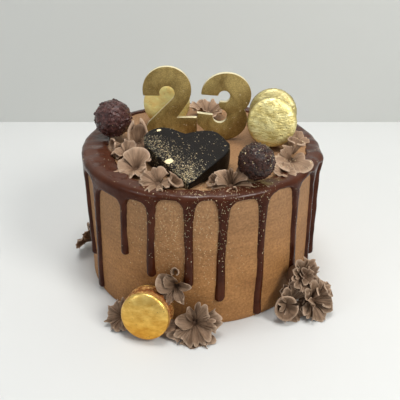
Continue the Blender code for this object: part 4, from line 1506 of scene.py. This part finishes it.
@dataclass(frozen=True)
class Flower:
    """A piped flower: petals round a pit on a soft core, some of them given, the rest spread round evenly."""

    name: str
    place: Triple
    facing: float
    rise: float
    reach: float
    petals: int
    turn: float = 0.0
    own: tuple["Petal | Frill | Funnel", ...] = ()
    upright: float = 68.0
    droop: float = 2.0
    fullness: float = 1.5
    depth: float = 0.0014
    core: float = 0.50
    core_depth: float = 0.0022
    core_sink: float = 0.0012
    # The core's painted light share: low, so the core takes the painted shade of the folds.
    core_painted_light_share: float = 0.12

    def all_petals(self, rng: np.random.Generator) -> list["Petal | Frill | Funnel"]:
        """The flower's given petals and the spread ones, each a little different."""
        made = list(self.own)
        for index in range(self.petals):
            start = self.upright + rng.uniform(-8, 8)
            end = self.droop + rng.uniform(-14, 14)
            rises = np.radians(np.linspace(start, end, 20))
            length = self.reach * rng.uniform(0.90, 1.08) / np.cos(rises).mean()
            turn = self.turn + 360 * (index + 0.5) / self.petals + rng.uniform(-8, 8)
            spread = self.fullness * 360 / self.petals * rng.uniform(0.85, 1.15)
            made.append(Frill(turn, spread, length, start, end, rng.uniform(1.1, 1.9),
                              self.depth * rng.uniform(0.7, 1.3), rng.uniform(0, 6.28)))
        return made

    def build(self, finish: bpy.types.Material, seed: int) -> bpy.types.Object:
        """Joins the petals and the core, sets them in place and eases them back inside the model's box and
        above the floor.
        """
        rng = np.random.default_rng(seed)
        bm = bmesh.new()
        mark = bm.verts.layers.float.new("painted_light_share")
        bm.verts.layers.float_vector.new("leaf")
        radius = self.core * self.reach
        core = (Matrix.Translation((0, 0, -self.core_sink))
                @ Matrix.Diagonal((radius, radius, self.core_depth, 1.0)))
        bmesh.ops.create_icosphere(bm, subdivisions=3, radius=1.0, matrix=core)
        # The core is marked for painted shade.
        for vert in bm.verts:
            vert[mark] = self.core_painted_light_share
        for petal in self.all_petals(rng):
            merge_into(bm, petal.mesh())
        stand = facing_matrix(Vector(self.place), self.facing, self.rise)
        bmesh.ops.transform(bm, matrix=stand, verts=bm.verts)
        low, high = (*(value + GAP for value in cad_low[:2]), GAP), [value - GAP for value in cad_high]
        for vert in bm.verts:
            vert.co = [press(value, *sides) for value, sides in zip(vert.co, zip(low, high))]
        piece = publish(self.name + "_petals", bm, finish, Slot.CREAM, [self.name], crease=70.0)
        smooth = piece.modifiers.new("Soften", "SUBSURF")
        smooth.levels = smooth.render_levels = 1
        return piece


# Gold flakes


class Grain(Enum):
    """The two kinds of loose gold."""

    SPECK = "gold_specks"
    STRAND = "gold_strands"


@dataclass(frozen=True)
class Dusting:
    """How one piece is dusted: how many flakes of each kind, and where they gather."""

    piece: str
    specks: int
    strands: int
    gather: Callable[[np.ndarray, np.ndarray], np.ndarray]
    size: float = 1.0


@dataclass
class GoldDust:
    """Loose gold flakes that lie on other pieces, one joined mesh for each kind."""

    finish: bpy.types.Material
    seed: int = 41
    lift: float = 0.00008
    thickness: float = 0.00006
    speck_size: tuple[float, float] = (0.00011, 0.00052)
    strand_length: tuple[float, float] = (0.0006, 0.0020)
    strand_width: tuple[float, float] = (0.00009, 0.00018)
    tilt: float = 0.28
    draws: int = 30000
    margin: float = 0.0012
    meshes: dict[Grain, bmesh.types.BMesh] = field(
        default_factory=lambda: {kind: bmesh.new() for kind in Grain})

    def spots(self, dusting: Dusting, count: int,
              rng: np.random.Generator) -> Iterable[tuple[Vector, Vector]]:
        """Places on a piece and the surface's direction there.

        Args:
            dusting: The piece and where its flakes gather.
            count: How many places.
            rng: The seeded generator.

        Returns:
            (place, normal) pairs.
        """
        graph = bpy.context.evaluated_depsgraph_get()
        mesh = bpy.data.objects[dusting.piece].evaluated_get(graph).to_mesh()
        mesh.calc_loop_triangles()
        points, corners = np.empty(len(mesh.vertices) * 3), np.empty(len(mesh.loop_triangles) * 3, int)
        mesh.vertices.foreach_get("co", points)
        mesh.loop_triangles.foreach_get("vertices", corners)
        triangles = points.reshape(-1, 3)[corners.reshape(-1, 3)]
        cross = np.cross(triangles[:, 1] - triangles[:, 0], triangles[:, 2] - triangles[:, 0])
        size = np.linalg.norm(cross, axis=1)
        drawn = rng.choice(len(size), self.draws, p=size / size.sum())
        shares = rng.dirichlet((1.0, 1.0, 1.0), self.draws)
        places = (triangles[drawn] * shares[:, :, None]).sum(axis=1)
        normals = cross[drawn] / size[drawn, None]
        low, high = np.array(cad_low) + self.margin, np.array(cad_high) - self.margin
        inside = ((places > low) & (places < high)).all(axis=1)
        weights = dusting.gather(places, normals) * inside
        for index in rng.choice(self.draws, count, replace=False, p=weights / weights.sum()):
            yield Vector(places[index]), Vector(normals[index])

    def lay(self, dusting: Dusting) -> None:
        """Adds a piece's flakes to the joined meshes."""
        rng = np.random.default_rng(self.seed + len(dusting.piece) + dusting.specks)
        for kind, count in ((Grain.SPECK, dusting.specks), (Grain.STRAND, dusting.strands)):
            for place, normal in self.spots(dusting, count, rng):
                axis = (normal + Vector(rng.normal(scale=self.tilt, size=3))).normalized()
                turn = axis.to_track_quat("Z", "Y").to_matrix().to_4x4()
                spin = Matrix.Rotation(rng.uniform(0, 2 * math.pi), 4, "Z")
                at = Matrix.Translation(place + normal * self.lift) @ turn @ spin
                if kind is Grain.SPECK:
                    small, large = self.speck_size
                    size = dusting.size * (small + (large - small) * rng.random() ** 3)
                    bmesh.ops.create_cone(self.meshes[kind], cap_ends=True, segments=5, radius1=size,
                                          radius2=size * 0.6, depth=self.thickness,
                                          matrix=at @ Matrix.Diagonal((1, rng.uniform(0.5, 1), 1, 1)))
                else:
                    length = dusting.size * rng.uniform(*self.strand_length)
                    width = rng.uniform(*self.strand_width)
                    stretch = Matrix.Diagonal((length, width, self.thickness, 1.0))
                    bmesh.ops.create_cube(self.meshes[kind], size=1.0, matrix=at @ stretch)

    def build(self) -> None:
        """Makes the two pieces."""
        for kind, bm in self.meshes.items():
            bmesh.ops.recalc_face_normals(bm, faces=bm.faces)
            publish(kind.value, bm, self.finish, Slot.PLATE, crease=30.0)


@dataclass(frozen=True)
class LeafFleck:
    """One crumpled scrap of gold leaf on the heart."""

    name: str
    place: tuple[float, float]
    size: tuple[float, float]
    rise: float = 0.0003
    lift: float = 0.0002
    thickness: float = 0.00008

    def build(self, finish: bpy.types.Material, below: bpy.types.Object) -> bpy.types.Object:
        """Lays a small torn sheet on the piece below it."""
        bm = bmesh.new()
        bmesh.ops.create_circle(bm, cap_ends=True, cap_tris=True, segments=18, radius=0.5)
        bmesh.ops.subdivide_edges(bm, edges=bm.edges, cuts=2, use_grid_fill=True)
        body = below.evaluated_get(bpy.context.evaluated_depsgraph_get())
        high = CAKE_HEIGHT + 0.05
        for vert in bm.verts:
            ragged = 1 + 0.35 * noise.noise(vert.co * 5.0 + Vector((self.size[0] * 900, 0, 0)))
            across, along = vert.co.x * self.size[0] * ragged, vert.co.y * self.size[1] * ragged
            start = Vector((self.place[0] + across + 0.3 * along, self.place[1] + along, high))
            _, place, _, _ = body.ray_cast(start, Vector((0, 0, -1)))
            vert.co = place + Vector((0, 0, self.lift + self.rise * (1 + noise.noise(vert.co * 9.0))))
        bmesh.ops.solidify(bm, geom=list(bm.faces), thickness=self.thickness)
        bmesh.ops.recalc_face_normals(bm, faces=bm.faces)
        return publish(self.name, bm, finish, Slot.PLATE, crease=30.0)


# Stage


@dataclass(frozen=True)
class Studio:
    """The pale floor and wall, the soft lights and the camera."""

    wall_distance: float = 0.272
    camera_place: Triple = (0.0, -0.3668, 0.2522)
    camera_pitch: float = 64.69
    lens: float = 51.83
    shift: float = -0.1

    def backdrop(self, effects: Effects) -> None:
        """A pale floor and a slightly darker wall behind it."""
        for name, colour, size, place, turn in (
                ("floor", (0.70, 0.705, 0.69), (6.0, 6.0), (0, 0, 0), 0.0),
                ("wall", (0.60, 0.61, 0.585), (6.0, 3.0), (0, self.wall_distance, 1.5), math.pi / 2)):
            bm = bmesh.new()
            matrix = (Matrix.Translation(place) @ Matrix.Rotation(turn, 4, "X")
                      @ Matrix.Diagonal((size[0], size[1], 1.0, 1.0)))
            bmesh.ops.create_grid(bm, x_segments=1, y_segments=1, size=0.5, matrix=matrix)
            mesh = bpy.data.meshes.new(name)
            bm.to_mesh(mesh)
            bm.free()
            mesh.materials.append(PlainStage(name=name, colour=colour, one_sided=turn > 0).build(effects))
            stage = placed(name, mesh)

    @staticmethod
    def lamp(name: str, place: Triple, aim: Triple, size: float, power: float,
             colour: Colour = (1.0, 1.0, 1.0)) -> None:
        """A square soft light that looks at a point."""
        data = bpy.data.lights.new(name, "AREA")
        data.size = size
        data.energy = power
        data.color = colour
        lamp = placed(name, data)
        lamp.location = place
        lamp.rotation_euler = (Vector(aim) - Vector(place)).to_track_quat("-Z", "Y").to_euler()

    def lights(self) -> None:
        """A broad light from the upper right, a weaker one from the left, and pale surroundings."""
        middle = (0.0, 0.0, 0.06)
        self.lamp("key", (0.60, -0.55, 0.75), middle, 0.30, 5.9, (1.0, 0.985, 0.95))
        self.lamp("fill", (-0.80, -0.50, 0.60), middle, 0.40, 1.5, (0.96, 0.98, 1.0))
        self.lamp("top", (0.02, -0.02, 1.10), middle, 0.40, 5.9)
        world = bpy.data.worlds.new("studio")
        world.use_nodes = True
        background = world.node_tree.nodes["Background"]
        background.inputs["Color"].default_value = (0.93, 0.96, 1.0, 1.0)
        background.inputs["Strength"].default_value = 0.33
        bpy.context.scene.world = world
        bpy.context.scene.view_settings.view_transform = "Standard"

    def camera(self) -> None:
        """The camera at the photograph's viewing angle."""
        data = bpy.data.cameras.new("camera")
        data.sensor_width = 36.0
        data.lens = self.lens
        data.shift_y = self.shift
        camera = placed("camera", data)
        camera.location = self.camera_place
        camera.rotation_euler = (math.radians(self.camera_pitch), 0.0, 0.0)
        bpy.context.scene.camera = camera


TOP = CAKE_HEIGHT
FLOWERS = (
    Flower("top_flower_1", (-0.0425, -0.0050, TOP), 8, 56, 0.0120, 0, own=(
        Funnel(-90, -0.0062, 24, 0.0050, 0.0080, lift=0.0006, stretch=1.75, roll=0.0011, ruffle=0.0002,
               closing=0.90, thickness=0.0010),
        Frill(90, 120, 0.0150, 44, 76, 0.8, 0.0010, lift=-0.0010),
        Funnel(186, 0.0100, 62, 0.0034, 0.0085, lift=0.0012, roll=0.0008, ruffle=0.0002, thickness=0.0009),
        Frill(214, 90, 0.0120, 58, 14, 1.6, 0.0014, phase=1.0),
        Frill(262, 90, 0.0130, 62, 6, 1.8, 0.0016, phase=2.0),
        Frill(320, 90, 0.0120, 62, 10, 1.5, 0.0014, phase=4.0), Frill(10, 70, 0.0100, 60, 24, 1.2, 0.0010))),
    Flower("top_flower_2", (-0.0490, -0.0215, TOP), -50, 78, 0.0070, 5, 0, upright=58, droop=14,
           fullness=1.7),
    Flower("top_flower_3", (-0.0400, -0.0430, TOP), -30, 70, 0.0125, 0, own=(
        Frill(104, 150, 0.0140, 64, 22, 0.6, 0.0012, phase=0.6, ragged=0.04),
        Frill(14, 100, 0.0120, 62, 14, 1.0, 0.0014, phase=2.0),
        Frill(196, 100, 0.0120, 56, -4, 1.0, 0.0012, phase=4.0),
        Frill(-62, 120, 0.0130, 58, -6, 1.5, 0.0018, phase=1.0, sweep=0.14),
        Frill(-116, 70, 0.0145, 40, -14, 1.0, 0.0013, phase=3.0),
        Funnel(-52, 0.0105, 66, 0.0026, 0.0070, lift=0.0014, stretch=0.7, roll=0.0006, closing=0.8))),
    Flower("top_flower_4", (-0.0250, -0.0620, TOP), -20, 70, 0.0110, 0, own=(
        Frill(86, 120, 0.0100, 66, 24, 1.4, 0.0013), Frill(172, 90, 0.0110, 60, 4, 1.6, 0.0014, phase=2.0),
        Frill(-104, 100, 0.0115, 58, -6, 1.9, 0.0016, phase=1.0),
        Frill(-30, 90, 0.0110, 60, 4, 1.6, 0.0014, phase=3.0),
        Funnel(0, 0.0072, 44, 0.0026, 0.0066, lift=0.0012, stretch=1.5, roll=0.0007, closing=0.85),
        Funnel(-62, 0.0072, 52, 0.0018, 0.0050, lift=0.0006, roll=0.0005))),
    Flower("top_flower_5", (0.0180, -0.0640, TOP), 5, 66, 0.0088, 0, own=(
        Frill(158, 96, 0.0120, 62, 18, 1.1, 0.0015, phase=0.5),
        Frill(20, 84, 0.0125, 66, 24, 2.2, 0.0015, phase=2.0),
        Frill(92, 110, 0.0095, 76, 58, 3.2, 0.0012), Frill(92, 60, 0.0115, 80, 74, 2.0, 0.0010, phase=2.0),
        Funnel(176, 0.0070, 40, 0.0030, 0.0060, lift=0.0004, roll=0.0006, closing=0.85),
        Frill(196, 50, 0.0118, 34, -10, 1.6, 0.0010), Frill(-8, 44, 0.0120, 34, -10, 1.6, 0.0010, phase=2.0),
        Frill(-90, 70, 0.0085, 50, -8, 1.5, 0.0012, phase=1.0),
        Funnel(-90, 0.0056, 34, 0.0026, 0.0046, ruffle=0.0005, roll=0.0005))),
    Flower("top_flower_6", (0.0578, -0.0320, TOP), 20, 64, 0.0120, 0, own=(
        Frill(-112, 150, 0.0182, 66, -12, 0.30, 0.0010, phase=1.2, sweep=0.0, ragged=0.02, crinkle=0.0002),
        Frill(-10, 80, 0.0104, 66, 10, 0.6, 0.0010, phase=2.2, ragged=0.03),
        Funnel(56, 0.0085, 30, 0.0044, 0.0085, stretch=1.2, roll=0.0008, ruffle=0.0003),
        Frill(112, 100, 0.0115, 66, 30, 1.3, 0.0012),
        Frill(176, 80, 0.0100, 60, 10, 1.0, 0.0012, phase=2.0))),
    Flower("top_flower_7", (0.0512, -0.0480, TOP), 30, 70, 0.0066, 0, 30, own=(
        Frill(-60, 130, 0.0080, 60, 4, 1.0, 0.0008), Frill(60, 130, 0.0070, 62, 14, 1.2, 0.0008, phase=2.0),
        Frill(180, 130, 0.0075, 60, 6, 1.1, 0.0008, phase=4.0))),
    Flower("top_flower_8", (0.0672, 0.0000, TOP), 50, 66, 0.0062, 0, own=(
        Frill(-70, 130, 0.0080, 62, 4, 0.9, 0.0010), Frill(60, 140, 0.0080, 64, 24, 1.2, 0.0010, phase=2.0),
        Frill(180, 120, 0.0085, 60, 8, 1.2, 0.0010, phase=4.0))),
    Flower("top_flower_9", (0.0060, 0.0470, TOP), 180, 84, 0.0115, 6, 15),
    Flower("top_flower_10", (-0.0270, 0.0560, TOP), 180, 76, 0.0110, 6, 0),
    Flower("top_flower_11", (0.0510, 0.0440, TOP), 150, 76, 0.0108, 6, 20),
    Flower("base_flower_1", (-0.0145, -0.0772, 0.0305), -11, 24, 0.0100, 0, core=0.30, own=(
        Petal(160, 0.0150, 0.0175, 70, 6, wrap=1.45, ruffle=0.0007, folds=1.4, curl=-10, blunt=0.2),
        Petal(136, 0.0125, 0.0110, 76, 26, wrap=1.3, ruffle=0.0005, curl=20),
        Funnel(90, 0.0068, 16, 0.0018, 0.0082, lift=0.0004, closing=0.82, roll=0.0005, ruffle=0.0002,
               thickness=0.0010),
        Petal(3, 0.0130, 0.0072, 66, 6, wrap=1.5, ruffle=0.0004, curl=16, crinkle=0.0003),
        Petal(-56, 0.0150, 0.0082, 66, 0, wrap=1.2, ruffle=0.0004, curl=10, blunt=0.75, crinkle=0.0003),
        Petal(-104, 0.0150, 0.0068, 64, 0, wrap=1.3, ruffle=0.0005, blunt=0.6, crinkle=0.0003),
        Petal(-134, 0.0145, 0.0066, 64, 2, wrap=1.3, ruffle=0.0005, crinkle=0.0003),
        Petal(190, 0.0115, 0.0070, 64, 8, wrap=1.2, ruffle=0.0005))),
    Flower("base_flower_2", (-0.0036, -0.0860, 0.0078), -2, 40, 0.0110, 0, core=0.30, own=(
        Petal(112, 0.0130, 0.0078, 70, 14, wrap=1.4, ruffle=0.0004, blunt=0.4),
        Frill(58, 62, 0.0150, 68, 14, 1.3, 0.0017, phase=0.6),
        Frill(22, 40, 0.0120, 66, 20, 0.9, 0.0012, phase=3.0),
        Frill(-6, 46, 0.0155, 64, 4, 0.9, 0.0013, phase=1.2),
        Frill(-50, 58, 0.0160, 64, 0, 1.5, 0.0018, phase=2.4),
        Frill(-98, 56, 0.0162, 64, 0, 1.3, 0.0017, phase=0.4),
        Frill(-138, 50, 0.0155, 64, 2, 1.3, 0.0016, phase=4.0),
        Petal(176, 0.0145, 0.0130, 68, 10, wrap=1.35, ruffle=0.0009, folds=1.6),
        Frill(-160, 64, 0.0178, 42, -8, 2.2, 0.0013, phase=1.0),
        Frill(-76, 92, 0.0178, 42, -10, 3.0, 0.0014, phase=5.0),
        Frill(6, 56, 0.0168, 42, -4, 1.9, 0.0012, phase=2.0))),
    Flower("base_flower_3", (-0.0485, -0.0765, 0.0042), -38, 45, 0.0085, 6, 0),
    Flower("base_flower_4", (0.0572, -0.0670, 0.0070), 26, 32, 0.0110, 0, core=0.60, core_depth=0.0040, own=(
        Funnel(186, 0.0040, 20, 0.0062, 0.0064, lift=0.0022, roll=0.0009, ruffle=0.0004, folds=2.0),
        Frill(-24, 330, 0.0058, 74, 14, 3.0, 0.0010, offset=0.0088, lift=0.0040, tilt=12),
        Funnel(-24, 0.0088, 16, 0.0020, 0.0052, lift=0.0034, roll=0.0005),
        Frill(-100, 100, 0.0130, 58, -6, 2.2, 0.0014), Frill(-40, 90, 0.0130, 56, -6, 2.0, 0.0014, phase=2.0),
        Frill(58, 120, 0.0095, 80, 50, 2.6, 0.0014, offset=0.0072, lift=0.0020),
        Frill(70, 200, 0.0080, 76, 24, 3.0, 0.0015, offset=0.0100, lift=0.0030, phase=1.0),
        Frill(60, 90, 0.0170, 60, 20, 2.4, 0.0014), Frill(108, 100, 0.0150, 64, 24, 2.0, 0.0014, phase=3.0),
        Frill(104, 250, 0.0048, 74, 30, 2.6, 0.0008, offset=0.0095, lift=0.0030),
        Frill(160, 80, 0.0120, 60, 16, 1.6, 0.0013))),
    Flower("base_flower_5", (0.0715, -0.0655, 0.0080), 34, 34, 0.0120, 0, core=0.60, core_depth=0.0045, own=(
        Frill(178, 74, 0.0135, 82, 34, 1.1, 0.0014, phase=1.0, lift=0.0010),
        Funnel(10, 0.0030, 26, 0.0066, 0.0080, lift=0.0010, stretch=1.1, roll=0.0009, closing=0.86,
               ruffle=0.0008),
        Funnel(20, 0.0060, 34, 0.0038, 0.0080, lift=0.0036, roll=0.0007, ruffle=0.0005),
        Frill(-28, 84, 0.0160, 68, 4, 1.4, 0.0016, phase=2.0),
        Frill(-92, 84, 0.0150, 62, -4, 1.9, 0.0016, phase=1.0),
        Frill(-140, 70, 0.0130, 58, -4, 1.8, 0.0014, phase=3.0),
        Frill(20, 70, 0.0150, 66, 14, 1.5, 0.0014, phase=4.0),
        Frill(64, 90, 0.0165, 66, 24, 1.9, 0.0015), Frill(116, 90, 0.0150, 66, 26, 1.8, 0.0014, phase=2.0),
        Frill(64, 300, 0.0062, 74, 20, 3.2, 0.0012, offset=0.0105, lift=0.0030))),
    Flower("base_flower_6", (0.0645, -0.0605, 0.0240), 36, 32, 0.0105, 0, core=0.75, core_depth=0.0070, own=(
        Frill(80, 110, 0.0140, 62, 22, 2.2, 0.0017), Frill(20, 90, 0.0130, 62, 16, 1.8, 0.0016, phase=2.0),
        Frill(-40, 90, 0.0120, 62, 8, 2.0, 0.0015, phase=3.0),
        Frill(-100, 100, 0.0125, 60, 2, 2.2, 0.0016, phase=1.0),
        Frill(-160, 90, 0.0120, 60, 8, 1.9, 0.0015, phase=4.0),
        Frill(150, 90, 0.0120, 64, 20, 1.8, 0.0014, phase=5.0),
        Frill(60, 200, 0.0085, 78, 44, 2.8, 0.0014, lift=0.0020),
        Frill(230, 180, 0.0085, 78, 36, 2.6, 0.0014, lift=0.0020))),
    Flower("base_flower_7", (-0.0800, 0.0030, 0.0100), -93, 30, 0.0110, 6, 25),
)
MACARONS = (
    Macaron("macaron_right_front", 0.0483, -0.0052, TOP, 0.0166, -3.0, 20.0, 51),
    Macaron("macaron_right_back", 0.0512, 0.0143, TOP, 0.0166, -3.0, 20.0, 53),
    Macaron("macaron_back_left", -0.0243, 0.0330, TOP, 0.0166, -8.0, 14.0, 55),
    Macaron("macaron_base", -0.0322, -0.0866, 0.0, 0.0155, -13.0, 12.0, 57, 0.0070, 0.0030, 0.0040, 0.0011),
)


def dust_everything(finish: bpy.types.Material) -> None:
    """Lays the gold where the cake has it: thick on the heart, in a band down the front, thin elsewhere."""
    def on_heart(at: np.ndarray, normal: np.ndarray) -> np.ndarray:
        """Thickest towards the tip and the left."""
        tip = band(at[:, 0], -0.0085, 0.009) * band(at[:, 1], -0.062, 0.012)
        left = band(at[:, 0] + 0.62 * (at[:, 1] + 0.045), -0.0205, 0.0080) * (at[:, 1] < -0.026)
        shown = np.clip(normal[:, 2] + 0.5 - 0.8 * (normal[:, 0] > 0.2), 0, 1)
        return shown * (0.11 + 3.0 * tip + 1.9 * left)

    def on_front(at: np.ndarray, normal: np.ndarray) -> np.ndarray:
        """A band down the front, fading below."""
        fade = np.clip((at[:, 2] - 0.012) / 0.05, 0.05, 1)
        return band(azimuths_of(at), -8.0, 15.0) * (at[:, 1] < 0) * fade

    def on_ring(at: np.ndarray, normal: np.ndarray) -> np.ndarray:
        """The front of the ring and the drips under it."""
        return (band(azimuths_of(at), 9.0, 25.0) + 0.03) * np.clip((at[:, 2] - 0.02) / 0.05, 0.05, 1) ** 2

    def facing_up(at: np.ndarray, normal: np.ndarray) -> np.ndarray:
        """Upward faces."""
        return np.clip(normal[:, 2] + 0.2, 0, 1)

    def low_on_plate(at: np.ndarray, normal: np.ndarray) -> np.ndarray:
        """The lower part of a plate's front."""
        return np.clip(-normal[:, 1], 0, 1) * band(at[:, 2], CAKE_HEIGHT, 0.022)

    dust = GoldDust(finish)
    for dusting in (
            Dusting("moulded_heart", 1600, 200, on_heart, 0.66),
            Dusting("frosted_body", 1900, 420, on_front, 0.66),
            Dusting("ganache_coat", 760, 220, on_ring, 0.66),
            Dusting("crisp_ball_right_crust", 300, 60, facing_up, 0.7),
            Dusting("crisp_ball_left_crust", 14, 6, facing_up),
            Dusting("top_flower_1_petals", 60, 12, facing_up, 0.8),
            Dusting("top_flower_6_petals", 130, 14, facing_up, 0.8),
            Dusting("top_flower_5_petals", 16, 4, facing_up),
            Dusting("numeral_two_plate", 30, 6, low_on_plate),
            Dusting("numeral_three_plate", 36, 6, low_on_plate)):
        dust.lay(dusting)
    dust.build()


def main() -> None:
    """Builds every piece in order, then the stage."""
    logging.basicConfig(level=logging.INFO, format="%(name)s: %(message)s")
    effects = Effects()
    shells = {
        "bright": GiltShell(),
        # A darker copy of the bright gold, as painted shade on the macaron that stands behind another.
        "painted_shade": GiltShell(name="gold_shell_painted_shade", low=(0.40, 0.32, 0.11), high=(0.66, 0.59, 0.29)),
        "pale": GiltShell(name="gold_shell_pale", low=(0.92, 0.66, 0.21), high=(1.0, 0.88, 0.36), wear=0.04,
                          rough=0.45, metal=0.3, depth=0.0002),
        "warm": GiltShell(name="gold_shell_warm", low=(0.66, 0.39, 0.080), high=(0.90, 0.65, 0.20), wear=0.03,
                          rough=0.33, metal=0.75, crease_turn=1.2, depth=0.00022, painted_board_reflection=(0.94, 0.66, 0.13))}
    gilt = {tone: shell.build(effects) for tone, shell in shells.items()}
    foot = SoftCrumb().build(effects)
    worn_foot = SoftCrumb(name="macaron_foot_worn", low=(0.10, 0.060, 0.020), high=(0.55, 0.42, 0.16),
                          metal=0.3).build(effects)
    filling = SoftCrumb(name="macaron_filling", low=(0.20, 0.055, 0.012), high=(0.38, 0.13, 0.03),
                        metal=0.0).build(effects)
    flake = GoldFlake().build(effects)
    cream = PipedCream().build(effects)
    crisp = CrispChocolate().build(effects)
    plate = GoldPlate().build(effects)

    FrostedBody().build(Frosting().build(effects))
    GanacheCoat().build(Ganache().build(effects))
    heart = Heart().build(HeartChocolate().build(effects))
    Numeral(Figure.TWO, (-0.0398, 0.0160)).build(plate)
    Numeral(Figure.THREE, (-0.0020, 0.0062)).build(plate)
    CrispBall("crisp_ball_left", 61, 170, (0.0011, 0.0022)).build(crisp)
    darker = CrispChocolate(name="crisp_chocolate_dark", low=(0.0085, 0.0028, 0.0018),
                            high=(0.068, 0.026, 0.017), shine=0.30, rough=(0.05, 0.22))
    CrispBall("crisp_ball_right", 67, 420, (0.0006, 0.0012), relief=0.0007).build(darker.build(effects))
    for macaron, tone in zip(MACARONS, ("bright", "painted_shade", "pale", "warm")):
        under = {"warm": foot, "bright": worn_foot, "painted_shade": worn_foot, "pale": gilt["pale"]}[tone]
        macaron.build(MacaronLook(gilt[tone], under, filling))
    for seed, flower in enumerate(FLOWERS):
        flower.build(cream, 200 + seed)
    LeafFleck("leaf_fleck_large", (-0.0190, -0.0512), (0.0050, 0.0052)).build(flake, heart)
    LeafFleck("leaf_fleck_small", (-0.0266, -0.0222), (0.0027, 0.0023), rise=0.0005).build(flake, heart)
    dust_everything(flake)

    studio = Studio()
    studio.backdrop(effects)
    studio.lights()
    studio.camera()


if __name__ == "__main__":
    main()
